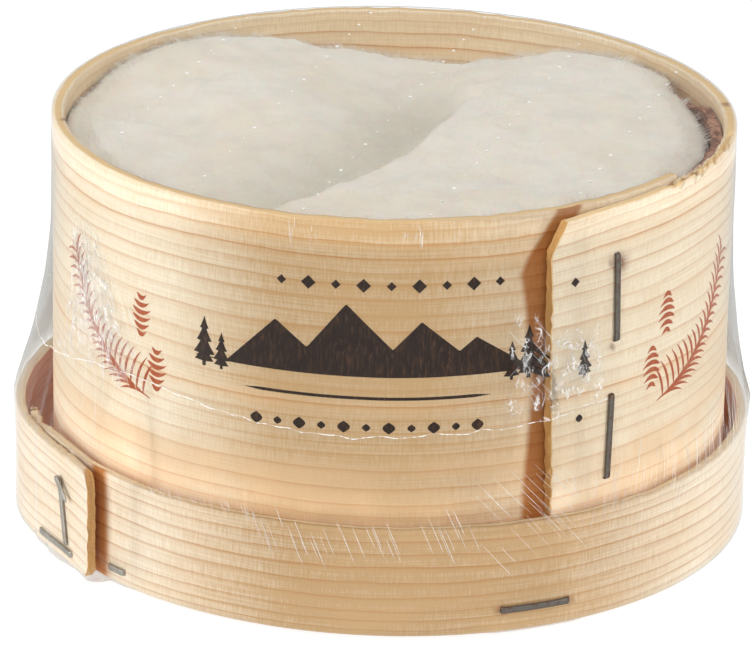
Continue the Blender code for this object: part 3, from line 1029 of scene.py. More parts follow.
@dataclass
class LidBand(Strip):
    """The lid's band: its outer end is a tongue with round corners, and its inner end bows out."""

    base_radius: float = 60.0
    bow: float = 1.6
    spring: float = 1.5
    corner: float = 2.4

    def inner_layer(self, run: Array) -> Array:
        """Radius of the second turn, whose free end bows out."""
        return self.base_radius + 0.4 * smooth(run, 330.0, 362.0) + self.bow * smooth(run, 368.0, 391.0)

    def radius(self, run: Array) -> Array:
        """Lies over the inner layer for the lap, sprung at the tongue's end, and settles by 200 degrees.

        Args:
            run: Degrees from the outer end.

        Returns:
            Radius of the outer face.
        """
        run = np.asarray(run, float)
        over = self.wall + self.lap_gap
        tongue = self.inner_layer(run + 360.0) + over + self.spring * np.maximum(0.0, 1.0 - run / 11.0) ** 2
        settled = self.base_radius + (over + 2.0) * (1.0 - smooth(run, self.lap, 200.0))
        return np.where(run >= 330.0, self.inner_layer(run), np.where(run <= self.lap, tongue, settled))

    def ends(self, run: Array, height: Array, depth: Array) -> tuple[Array, Array, Array]:
        """Rounds the tongue's corners, tears the inner end, roughens both and chips the tongue's top edge.

        Args:
            run: Degrees from the outer end.
            height: Heights above the floor.
            depth: Depths under the outer face.

        Returns:
            The moved run and height, and how far the radius is moved.
        """
        along = run / (360.0 + self.lap)
        inside = np.minimum(np.minimum(height - self.bottom, self.top - height), self.corner)
        rounding = self.corner - np.sqrt(self.corner ** 2 - (self.corner - inside) ** 2)
        torn = 0.8 * np.sin(0.6 * height)
        place = coords(height, depth * 1.5)
        rough = 0.16 * Ripple(0.9, 13).at(place)
        splinter = 0.6 * np.abs(Ripple(2.0, 15).at(place))
        moved = run + np.degrees(rounding / self.base_radius) * (1.0 - along) ** 60 + torn * along ** 60
        moved = moved + rough * (1.0 - smooth(run, 0.0, 0.8))
        moved = moved + (rough - splinter) * smooth(run, 390.0, 391.0)
        top = smooth(self.top - height, 1.6, 0.0)
        level = run[..., None] * [1.0, 0.0]
        nick = smooth(Ripple(4.0, 19).at(level), 0.5, 1.6) * smooth(run, 4.0, 8.0)
        chipped = 0.9 * nick * (1.0 - smooth(run, 24.0, 30.0)) * top
        wavy = 0.12 * np.abs(Ripple(12.0, 12).at(level)) * top
        ragged = 1.1 * np.abs(Ripple(1.6, 17).at(level)) * smooth(run, 377.0, 387.0) * top
        bent = 0.04 * np.tanh(Ripple(26.0, 18).at(coords(run, height)))
        return moved, height - chipped - wavy - ragged, bent


# Cheese, bark and mould

@dataclass
class Contents:
    """The cheese in its strap of bark, with the mould's hair."""

    pack: Pack
    side: BoxSide
    gap: float = 0.3
    bark: float = 1.6
    bark_drop_open: float = 2.4
    open_angle: float = 359.0
    open_bark: Pair = (12.0, 22.0)
    open_cheese: Pair = (22.0, 32.0)
    lip_rounding: float = 1.3
    lip_depth: float = 1.2
    columns: int = 420
    top_rings: int = 150
    side_rings: int = 14

    def lining(self, angle: Array) -> Array:
        """Free radius inside the box's side, eased across the step where its inner layer ends.

        Args:
            angle: Degrees round the box.

        Returns:
            Radius of the side's inner face.
        """
        run = self.side.run_at(angle)
        inner = self.side.radius(360.0 + np.minimum(run, self.side.lap))
        ease = smooth(run, self.side.lap + 2.0, self.side.lap + 26.0)
        settled = mix(inner, self.side.radius(run), ease)
        return np.where(run <= self.side.lap, inner, settled) - self.side.wall

    def open_side(self, angle: Array, reach: Pair) -> Array:
        """1 by the side where the cheese stands back from its bark, falling to 0 between the two angles."""
        return 1.0 - smooth(np.abs(turn_between(angle, self.open_angle)), *reach)

    def body(self, angle: Array) -> Array:
        """Radius of the cheese inside its bark."""
        return self.lining(angle) - self.gap - self.bark - self.gap

    def edge(self, angle: Array) -> Array:
        """Radius of the top's edge, which lips over the bark and stands back at the open side."""
        return mix(self.lining(angle) - 0.4, self.body(angle) - 0.8, self.open_side(angle, self.open_cheese))

    @staticmethod
    def mound(x: Array, y: Array, centre: Pair, axes: Pair, turn: float) -> Array:
        """A smooth oval mound 1 high: e to the power of -(along / long axis) ** 2 - (across / short) ** 2.

        Args:
            x: Places across the box.
            y: Places front to back.
            centre: The mound's middle.
            axes: Its long and short axis.
            turn: Degrees from +X to its long axis.

        Returns:
            The mound's height.
        """
        c, s = math.cos(math.radians(turn)), math.sin(math.radians(turn))
        along = ((x - centre[0]) * c + (y - centre[1]) * s) / axes[0]
        across = ((y - centre[1]) * c - (x - centre[0]) * s) / axes[1]
        return np.exp(-along * along - across * across)

    @staticmethod
    def fold_side(x: Array, y: Array) -> Array:
        """Distance past the fold, a parabola that sweeps from the back to the front left."""
        ahead = np.maximum(0.0, 14.0 - y)
        return x - (8.5 - 0.25 * ahead - 0.0052 * ahead * ahead)

    @staticmethod
    def fold_reach(y: Array) -> Array:
        """1 along the fold's length, fading out at its two ends."""
        return smooth(y, -44.0, -34.0) * (1.0 - smooth(y, 8.0, 34.0))

    def drop(self, x: Array, y: Array) -> Array:
        """How far the rind lies below the rim: soft lobes, the deep fold and low edges.

        Args:
            x: Places across the box, from its axis.
            y: Places front to back.

        Returns:
            Depths below the rim.
        """
        side = self.fold_side(x, y)
        flank = np.where(side < 0.0, np.exp(-(side / 12.0) ** 2), 1.0 - smooth(side, 0.0, 5.0))
        mounds = ((-1.7, (-24.0, 16.0), (30.0, 15.0), 118.0), (1.3, (-37.0, 4.0), (26.0, 6.0), 140.0),
                  (-1.6, (30.0, 12.0), (20.0, 24.0), 60.0), (-1.2, (8.0, -38.0), (20.0, 9.0), 0.0),
                  (1.1, (16.0, -20.0), (18.0, 7.0), 160.0), (5.0, (10.0, 52.0), (17.0, 12.0), 170.0),
                  (1.6, (-12.0, 54.0), (14.0, 9.0), 10.0), (-2.4, (-38.0, 34.0), (24.0, 12.0), 50.0),
                  (-2.0, (40.0, 32.0), (20.0, 12.0), 130.0), (-1.0, (-51.0, -2.0), (20.0, 9.0), 90.0))
        low = 3.4 + 3.8 * self.fold_reach(y) * flank
        return low + sum(depth * self.mound(x, y, *mound) for depth, *mound in mounds)

    def top(self, radius: Array, angle: Array) -> Array:
        """Height of the rind, with its rounded edge and soft lumps, at a place round the box's axis.

        A soft limit, half of s + sqrt(ss + 0.5), keeps it below the rim, where s is how far it is below.

        Args:
            radius: Distance from the axis.
            angle: Degrees round it.

        Returns:
            Heights above the floor.
        """
        x, y = radius * cosine(angle), radius * sine(angle)
        edge = self.edge(angle)
        inwards = smooth(edge - radius, 0.0, 6.0)
        place = coords(x, y)
        lumps = (0.22 * Ripple(11.0, 31).at(place) + 0.05 * Ripple(4.5, 32).at(place)) * inwards
        rounding = self.lip_rounding * smooth(radius, edge - 7.0, edge) ** 2
        spare = self.drop(x, y) + rounding - lumps - 0.45
        return self.pack.rim - 0.45 - 0.5 * (spare + np.sqrt(spare ** 2 + 0.5))

    def bark_top(self, angle: Array) -> Array:
        """Top of the bark: hidden under the cheese's lip except at the open side.

        Args:
            angle: Degrees round the box.

        Returns:
            Heights above the floor.
        """
        edge = self.edge(angle)
        x, y = edge * cosine(angle), edge * sine(angle)
        hidden = self.pack.rim - self.drop(x, y) - self.lip_rounding - self.lip_depth - self.gap - 0.1
        return mix(hidden, self.pack.rim - self.bark_drop_open, self.open_side(angle, self.open_bark))

    def cheese(self) -> Shape:
        """The cheese: flat below, straight inside its bark, lipped over it, with its lobed top.

        Returns:
            The surface, with "fold" near the fold and "edge" at the rim's side, the masks of its painted
            shade.
        """
        angle = np.arange(self.columns) * 360.0 / self.columns
        body, edge = self.body(angle), self.edge(angle)
        x, y = edge * cosine(angle), edge * sine(angle)
        step = self.pack.rim - self.drop(x, y) - self.lip_rounding - self.lip_depth
        bottom = np.full_like(angle, self.pack.cheese_bottom)
        side = [(0.0 * body, bottom), (body - 1.5, bottom), (body, bottom + 1.5)]
        side += [(body, mix(bottom + 1.5, step - 1.2, share))
                 for share in np.linspace(0.1, 1.0, self.side_rings)]
        side += [(body - 0.1, step - 0.4), (mix(body, edge, 0.5), step), (edge - 0.1, step + 0.2)]
        inwards = np.linspace(0.0, 1.0, self.top_rings)[:, None] ** 0.85
        radius = np.concatenate((np.array([s[0] for s in side]), edge * (1.0 - inwards)))
        top = self.top(edge * (1.0 - inwards), np.broadcast_to(angle, (self.top_rings, self.columns)))
        height = np.concatenate((np.array([s[1] for s in side]), top))
        x, y = radius * cosine(angle), radius * sine(angle)
        past = self.fold_side(x, y)
        # Mask of the painted shade in the fold's crease.
        near = np.exp(-(past / np.where(past < 0.0, 15.0, 3.0)) ** 2) * self.fold_reach(y)
        # Mask of the painted shade at the top's edge, by the gap along the box's side.
        rim = np.clip(1.0 - (edge - radius) / 1.6, 0.0, 1.0) ** 2
        points = polar(radius, angle, height, self.pack.box_axis)
        return ball_grid(points, {"fold": near, "edge": rim})

    def strap(self) -> Shape:
        """The bark: a ring with rough fibres on its top edge and inner face.

        Returns:
            The closed ring.
        """
        angle = np.arange(self.columns) * 360.0 / self.columns
        outer = self.lining(angle) - self.gap
        top = self.bark_top(angle)
        up = np.linspace(0.0, 1.0, 16)
        share = np.concatenate((up, np.ones(3), np.linspace(1.0, 0.0, 16), np.zeros(3)))
        inward = np.concatenate((np.zeros(16), (0.3, 0.8, 1.3), np.full(16, self.bark), (1.3, 0.8, 0.3)))
        height = mix(self.pack.cheese_bottom, top[None], share[:, None])
        radius = outer[None] - inward[:, None]
        points = polar(radius, angle, height, self.pack.box_axis)
        rough = Ripple(1.6, 41).at(points) * 0.10 + np.abs(Ripple(3.5, 42).at(points)) * 0.16
        upper = smooth(share, 0.8, 1.0)[:, None]
        lean = self.open_side(angle, self.open_bark)[None] * upper * np.minimum(inward / 0.8, 1.0)[:, None]
        points = polar(radius - rough * lean, angle, height - rough * upper, self.pack.box_axis)
        return ring_grid(points)

    def hairs(self, roots: Array, tips: Array, thickness: Array) -> Shape:
        """Tapered three-sided hairs, each bent a little at its middle.

        Args:
            roots: Where each starts.
            tips: Where each ends.
            thickness: Each one's radius at its root.

        Returns:
            All hairs as one shape.
        """
        along = tips - roots
        side = np.cross(along, [0.0, 0.0, 1.0]) + 1e-6
        side /= np.linalg.norm(side, axis=1, keepdims=True)
        up = np.cross(side, along)
        up /= np.linalg.norm(up, axis=1, keepdims=True)
        turn = np.radians([90.0, 210.0, 330.0])
        ring = np.cos(turn)[:, None] * side[:, None] + np.sin(turn)[:, None] * up[:, None]
        ring = ring * thickness[:, None, None]
        bend = up * (0.16 * np.linalg.norm(along, axis=1, keepdims=True))
        middle = (roots + tips) / 2.0 + bend
        points = np.concatenate((roots[:, None] + ring, middle[:, None] + 0.7 * ring, tips[:, None]), 1)
        base = 7 * np.arange(len(roots))[:, None]
        sides = [base + np.array([[k, (k + 1) % 3, 3 + (k + 1) % 3, 3 + k]]) for k in range(3)]
        fans = [base + np.array([[3 + k, 3 + (k + 1) % 3, 6]]) for k in range(3)]
        triangles = np.concatenate([base + np.array([[2, 1, 0]])] + fans)
        return Shape(points.reshape(-1, 3), np.concatenate(sides), triangles).facing_out()

    def nap(self, count: int = 10000) -> Shape:
        """Short hairs all over the top, combed this way and that by slow noise.

        Args:
            count: How many hairs.

        Returns:
            The hairs.
        """
        draw = np.random.default_rng(51)
        angle = draw.uniform(0.0, 360.0, count)
        radius = (self.edge(angle) - 0.4) * np.sqrt(draw.uniform(0.0, 1.0, count))
        roots = polar(radius, angle, self.top(radius, angle) - 0.05, self.pack.box_axis)
        comb = np.degrees(Ripple(30.0, 52).at(roots[:, :2])) * 1.2 + draw.normal(0.0, 35.0, count)
        length = draw.uniform(0.7, 1.8, count)
        lie = np.radians(draw.uniform(10.0, 65.0, count))
        aim = coords(cosine(comb) * np.cos(lie), sine(comb) * np.cos(lie), np.sin(lie))
        return self.hairs(roots, self.held(roots + aim * length[:, None]), draw.uniform(0.010, 0.021, count))

    def held(self, tips: Array) -> Array:
        """Hair tips kept inside the box's side and a quarter of a millimetre under its rim.

        Args:
            tips: Where the hairs would end.

        Returns:
            Where they end.
        """
        x, y = (tips[:, :2] - self.pack.box_axis).T
        share = np.minimum(1.0, (self.lining(np.degrees(np.arctan2(y, x))) - 0.15) / np.hypot(x, y))
        inside = self.pack.box_axis + coords(x * share, y * share)
        return np.concatenate((inside, np.minimum(tips[:, 2:], self.pack.rim - 0.25)), 1)

    def fringe(self, count: int = 5200) -> Shape:
        """Longer hairs round the edge, which reach out over the gap and, in front, stand up along the rim.

        Args:
            count: How many hairs.

        Returns:
            The hairs.
        """
        draw = np.random.default_rng(61)
        angle = draw.uniform(0.0, 360.0, count)
        tuft = smooth(Ripple(7.0, 62).at(polar(50.0, angle, 0.0, (0.0, 0.0))[:, :2]), -1.6, 1.2)
        inset = draw.uniform(0.1, 4.5, count)
        radius = self.edge(angle) - inset
        roots = polar(radius, angle, self.top(radius, angle) - 0.05, self.pack.box_axis)
        front = smooth(-sine(angle + 20.0), 0.1, 0.6)
        length = draw.uniform(0.8, 2.4, count) * (0.4 + 0.8 * tuft) * (1.0 + 1.1 * front)
        skew = np.where(cosine(angle) < 0.0, 38.0, -38.0) * np.abs(sine(angle))
        aim_angle = np.radians(angle + skew + draw.normal(0.0, 16.0, count))
        rise = np.radians(draw.uniform(10.0, 42.0, count) + 30.0 * front)
        level = np.cos(rise)
        aim = coords(np.cos(aim_angle) * level, np.sin(aim_angle) * level, np.sin(rise))
        return self.hairs(roots, self.held(roots + aim * length[:, None]), draw.uniform(0.02, 0.04, count))


# Staples

class LegEnd(Enum):
    """How a staple's leg ends: driven into the wood, or folded flat over its crown."""

    DRIVEN = 0
    FOLDED = 1


@dataclass
class Staple:
    """A wire staple on a strip: its crown goes from one angle and height to another."""

    strip: Strip
    angles: Pair
    heights: Pair
    last: LegEnd = LegEnd.DRIVEN
    width: float = 1.1
    thickness: float = 0.45
    clear: float = 0.12
    leg: float = 1.3
    bend: float = 0.35
    fold: float = 3.6
    fold_drift: float = -3.4
    fold_radius: float = 0.26

    def reach(self) -> Triple:
        """Radius at the staple, and its crown's extent round the strip and up, in millimetres.

        Returns:
            The three.
        """
        radius = float(self.strip.outside(np.array(self.angles[0])))
        wide = math.radians(self.angles[1] - self.angles[0]) * radius
        return radius, wide, self.heights[1] - self.heights[0]

    def line(self) -> tuple[Array, Array, Array]:
        """The wire's centreline along the crown, sideways, and into the wood.

        Quarter circles join the legs to the crown; a folded leg turns back in a half circle.

        Returns:
            Places along, sideways and deep, in millimetres.
        """
        crown = math.hypot(*self.reach()[1:])
        high = -self.clear - self.thickness / 2.0
        turn = np.radians(np.linspace(0.0, 90.0, 6))
        leg = np.linspace(self.leg, high + self.bend, 5)
        first = coords(0.0 * leg, leg)
        corner = coords(self.bend * (1.0 - np.cos(turn)), high + self.bend * (1.0 - np.sin(turn)))
        run = coords(np.linspace(self.bend, crown - self.bend, 14), np.full(14, high))
        if self.last is LegEnd.DRIVEN:
            mirrored = [coords(crown - part[::-1, 0], part[::-1, 1])[1:] for part in (corner, first)]
            path = np.concatenate((first, corner[1:], run[1:], *mirrored))
            return path[:, 0], 0.0 * path[:, 0], path[:, 1]
        half = np.radians(np.linspace(0.0, 180.0, 11))
        end = crown - self.bend
        loop = coords(end + self.fold_radius * np.sin(half), high - self.fold_radius * (1.0 - np.cos(half)))
        back = coords(np.linspace(end, end - self.fold, 8), np.full(8, high - 2.0 * self.fold_radius))
        path = np.concatenate((first, corner[1:], run[1:], loop[1:], back[1:]))
        drift = np.zeros(len(path))
        drift[-8:] = self.fold_drift * np.linspace(0.0, 1.0, 8)
        return path[:, 0], drift, path[:, 1]

    def shape(self) -> Shape:
        """Carries a flattened round section along the centreline and maps it onto the strip.

        Returns:
            The closed wire.
        """
        along, drift, deep = self.line()
        centre = coords(along, drift, deep)
        ahead = np.gradient(centre, axis=0)
        ahead /= np.linalg.norm(ahead, axis=1, keepdims=True)
        side = np.array([0.0, 1.0, 0.0]) - ahead * ahead[:, 1:2]
        side /= np.linalg.norm(side, axis=1, keepdims=True)
        up = np.cross(side, ahead)
        turn = np.radians(np.arange(12) * 30.0 + 15.0)
        flat = np.sign(np.cos(turn)) * np.abs(np.cos(turn)) ** 0.6 * self.width / 2.0
        tall = np.sign(np.sin(turn)) * np.abs(np.sin(turn)) ** 0.6 * self.thickness / 2.0
        taper = np.ones(len(centre))
        taper[[0, -1]] = 0.0
        taper[[1, -2]] = 0.8
        ring = side[:, None] * flat[None, :, None] + up[:, None] * tall[None, :, None]
        local = centre[:, None] + ring * taper[:, None, None]
        radius, wide, high = self.reach()
        c, s = wide / math.hypot(wide, high), high / math.hypot(wide, high)
        angle = self.angles[0] + np.degrees((local[..., 0] * c - local[..., 1] * s) / radius)
        height = self.heights[0] + local[..., 0] * s + local[..., 1] * c
        out = self.strip.outside(angle) - local[..., 2]
        return ball_grid(polar(out, angle, height, self.strip.axis))


# Print

@dataclass
class Motif:
    """A flat printed mark on the box's side, as a grid of places across and up in millimetres."""

    grid: Array

    @staticmethod
    def between(low: Array, high: Array, columns: int = 4) -> "Motif":
        """The area between two edges, each a row of places across and up."""
        share = np.linspace(0.0, 1.0, columns)[:, None, None]
        return Motif(mix(low[None], high[None], share))

    @staticmethod
    def upright(x: float, y: float, tall: float, half_width: Array) -> "Motif":
        """A mark that is the same to left and right: a half-width for each step of its height."""
        up = y + np.linspace(0.0, tall, len(half_width))
        return Motif.between(coords(x - half_width, up), coords(x + half_width, up))

    @staticmethod
    def fir(x: float, y: float, tall: float, tiers: int = 4) -> "Motif":
        """A fir: narrowing tiers of branches over a short trunk.

        Args:
            x: Its middle.
            y: Its foot.
            tall: Its height.
            tiers: How many tiers it has.

        Returns:
            The mark.
        """
        t = np.linspace(0.0, 1.0, 14 * tiers)
        tier = 1.0 - (t * tiers) % 1.0
        width = tall * 0.30 * (1.0 - t) ** 0.8 * (0.45 + 0.55 * tier)
        return Motif.upright(x, y, tall, np.where(t < 0.10, tall * 0.035, width) + 0.02)

    @staticmethod
    def lozenge(x: float, y: float, size: float) -> "Motif":
        """A square on its point."""
        t = np.linspace(-1.0, 1.0, 9)
        return Motif.upright(x, y - size / 2.0, size, size / 2.0 * (1.0 - np.abs(t)) + 0.02)

    @staticmethod
    def dot(x: float, y: float, size: float) -> "Motif":
        """A round dot."""
        t = np.sin(np.linspace(-math.pi / 2.0, math.pi / 2.0, 13))
        return Motif.upright(x, y - size / 2.0, size, size / 2.0 * np.sqrt(1.0 - t * t) + 0.01)

    @staticmethod
    def rule(x: float, y: float, wide: float, tall: float) -> "Motif":
        """A thin level line that tapers at both ends.

        Args:
            x: Its middle.
            y: Its height.
            wide: Its length.
            tall: Its thickness.

        Returns:
            The mark.
        """
        across = np.linspace(-1.0, 1.0, 41)
        half = tall / 2.0 * np.clip((1.0 - np.abs(across)) * 8.0, 0.1, 1.0)
        place = x + across * wide / 2.0
        return Motif.between(coords(place, y - half), coords(place, y + half))

    @staticmethod
    def stroke(start: Pair, end: Pair, bow: float, thick: float) -> "Motif":
        """A brush stroke from one place to another, bowed sideways, fat in the middle, pointed at the end.

        Args:
            start: Where it starts.
            end: Where it ends.
            bow: How far its middle is off the straight line.
            thick: Its thickness.

        Returns:
            The mark.
        """
        t = np.linspace(0.0, 1.0, 15)
        a, b = np.array(start), np.array(end)
        ahead = (b - a) / np.linalg.norm(b - a)
        side = np.array([-ahead[1], ahead[0]])
        line = mix(a, b, t[:, None]) + side * (4.0 * bow * t * (1.0 - t))[:, None]
        half = side * (thick / 2.0 * np.clip(np.sin(math.pi * t ** 0.8) + 0.12, 0.05, 1.0))[:, None]
        return Motif.between(line - half, line + half, 3)

    @staticmethod
    def skyline(left: float, right: float, base: float, peaks: tuple[Triple, ...]) -> "Motif":
        """A range of hills: the highest of several slopes, filled down to a level base.

        Args:
            left: Where it starts.
            right: Where it ends.
            base: Height of its foot.
            peaks: Place, height and slope of each peak.

        Returns:
            The mark.
        """
        x = np.linspace(left, right, 181)
        foot = np.full_like(x, base)
        top = foot + 0.15
        for place, high, slope in peaks:
            steep = np.where(x < place, slope, slope * 0.8)
            top = np.maximum(top, base + high - np.abs(x - place) * steep)
        return Motif.between(coords(x, foot), coords(x, top), 5)


@dataclass
class Print:
    """The stamped decoration on the box's side: hills and firs in front, a sprig with cones at each side."""

    side: BoxSide
    base: float
    middle_angle: float = 271.0
    lap_angle: float = 300.5
    sprig_angles: Pair = (216.5, 330.0)
    proud: float = 0.05
    seat: float = 0.10

    def on_side(self, motif: Motif, middle_angle: float) -> Shape:
        """Lays a mark on the box's side as a thin plate.

        Args:
            motif: The mark.
            middle_angle: Where its own x = 0 lies.

        Returns:
            The plate.
        """
        x, y = motif.grid[..., 0], motif.grid[..., 1] + self.base
        run = self.side.run_at(middle_angle + np.degrees(x / self.side.base_radius))
        return slab_grid(*(self.side.place(run, y, 0.0 * x + depth) for depth in (-self.proud, self.seat)))

    def centre(self) -> list[Motif]:
        """The dark marks in front: lozenges over hills with firs, a rule, and dots under it.

        Returns:
            The marks.
        """
        peaks = ((-19.0, 8.6, 1.0), (-7.5, 12.2, 1.25), (4.5, 9.4, 1.05), (13.5, 6.4, 0.8))
        firs = ((-31.5, 8.4), (-28.3, 6.2), (19.6, 6.6), (22.6, 9.0))
        marks = [Motif.skyline(-33.0, 22.5, 43.2, peaks)]
        marks += [Motif.fir(x, 41.6, tall) for x, tall in firs]
        marks += [Motif.lozenge(-18.0 + 4.4 * k, 58.6, 2.3 if k % 2 else 1.5) for k in range(9)]
        marks += [Motif.rule(-4.0, 39.6, 40.0, 0.5)]
        marks += [Motif.dot(-22.0 + 3.6 * k, 34.6, 1.3 if k % 2 else 2.0) for k in range(11)]
        return marks

    def over_lap(self) -> list[Motif]:
        """The dark marks that go on past the lap: one more fir, lozenge and dot."""
        return [Motif.fir(1.6, 41.6, 6.4), Motif.lozenge(-0.6, 58.6, 1.6), Motif.dot(0.6, 34.6, 1.4)]

    @staticmethod
    def sprig(mirror: float) -> list[Motif]:
        """A drooping branch with needles in pairs and two cones, drawn in strokes.

        Args:
            mirror: 1, or -1 to turn it round.

        Returns:
            The strokes.
        """
        start, end, bow = (11.0, 33.0), (-11.0, 53.0), 4.0
        marks = [Motif.stroke((start[0] * mirror, start[1]), (end[0] * mirror, end[1]), bow * mirror, 0.9)]
        for k in range(19):
            t = 0.05 + k * 0.05
            sag = 4.0 * bow * t * (1.0 - t)
            x = mix(start[0], end[0], t) - 0.67 * sag
            y = mix(start[1], end[1], t) - 0.74 * sag
            reach = 7.4 * (1.0 - 0.35 * t) * (0.85 + 0.15 * math.sin(9.0 * t))
            marks.append(Motif.stroke((x * mirror, y), ((x + 0.35 * reach) * mirror, y + 0.85 * reach),
                                      0.6 * mirror, 0.5))
            marks.append(Motif.stroke((x * mirror, y), ((x - 0.85 * reach) * mirror, y - 0.10 * reach),
                                      -0.6 * mirror, 0.5))
        for cone_x, cone_y in ((9.0, 50.5), (12.5, 42.0)):
            for row in range(6):
                across = 2.1 * math.sin(math.pi * (row + 1.3) / 7.6)
                y = cone_y - 1.25 * row
                marks.append(Motif.stroke(((cone_x - across) * mirror, y), ((cone_x + across) * mirror, y),
                                          -0.7, 0.8))
        return marks

    def shapes(self) -> dict[str, Shape]:
        """The dark marks and the red-brown ones, each joined into one piece.

        Returns:
            The two, by name.
        """
        dark = [self.on_side(m, self.middle_angle) for m in self.centre()]
        dark += [self.on_side(m, self.lap_angle) for m in self.over_lap()]
        red = [self.on_side(m, self.sprig_angles[0]) for m in self.sprig(1.0)]
        red += [self.on_side(m, self.sprig_angles[1]) for m in self.sprig(-1.0)]
        return {"print_dark": joined(dark), "print_red": joined(red)}


# Film

@dataclass(frozen=True)
class Gather:
    """Where a crumpled gather of film lies, and how it is folded.

    Attributes:
        top_angles: Angles of its top corners.
        bottom_angles: Angles of its lower corners.
        heights: Heights of its foot and top above the lid's foot.
        seed: Seed of its folds.
        stretch: How quickly its folds change upwards: small for long upright ones.
        bright: How bright the painted highlights along its creases are.
        columns: Its grid's columns.
        rows: Its grid's rows.
    """

    top_angles: Pair
    bottom_angles: Pair
    heights: Pair
    seed: int
    stretch: float
    bright: float
    columns: int
    rows: int


@dataclass(frozen=True)
class CreaseZone:
    """Short creases: where they lie from the lid's top edge, how tall, slanted and wide they are."""

    angles: Pair
    count: int
    level: float
    scatter: float
    tall: float
    lean: float
    half_width: float


GATHERS = (Gather((203.5, 213.0), (202.0, 230.5), (33.5, 58.5), 101, 0.22, 1.1, 200, 190),
           Gather((289.5, 295.5), (288.5, 297.5), (35.5, 54.0), 111, 0.55, 2.4, 100, 160),
           Gather((297.0, 305.5), (295.5, 306.5), (37.0, 50.5), 123, 0.70, 2.4, 100, 120))
WIRE_TENTS = ((203.0, 213.0, 0.52), (208.0, 210.5, 0.52), (221.0, 224.5, 0.52), (287.0, 299.5, 0.52))
CREASES = (CreaseZone((230.0, 249.0), 70, 0.6, 0.5, 1.7, -0.45, 0.036),
           CreaseZone((249.0, 283.0), 34, -2.0, 1.4, 7.0, -0.40, 0.060),
           CreaseZone((285.0, 300.0), 30, 3.0, 3.0, 8.0, -0.85, 0.050),
           CreaseZone((299.0, 346.0), 130, 2.4, 2.4, 7.5, 0.22, 0.032),
           CreaseZone((346.0, 575.0), 70, 1.0, 1.5, 4.0, 0.10, 0.035),
           CreaseZone((204.0, 211.0), 14, 27.0, 5.0, 14.0, -0.10, 0.035),
           CreaseZone((209.0, 218.0), 24, 24.0, 5.0, 13.0, -0.35, 0.045),
           CreaseZone((216.0, 226.0), 22, 20.5, 4.0, 9.0, -0.55, 0.045),
           CreaseZone((290.0, 297.0), 16, 25.5, 4.0, 4.0, -0.80, 0.050),
           CreaseZone((290.0, 305.0), 20, 24.5, 3.0, 3.0, 0.90, 0.045),
           CreaseZone((298.0, 306.0), 12, 26.0, 4.0, 4.5, -0.35, 0.040))


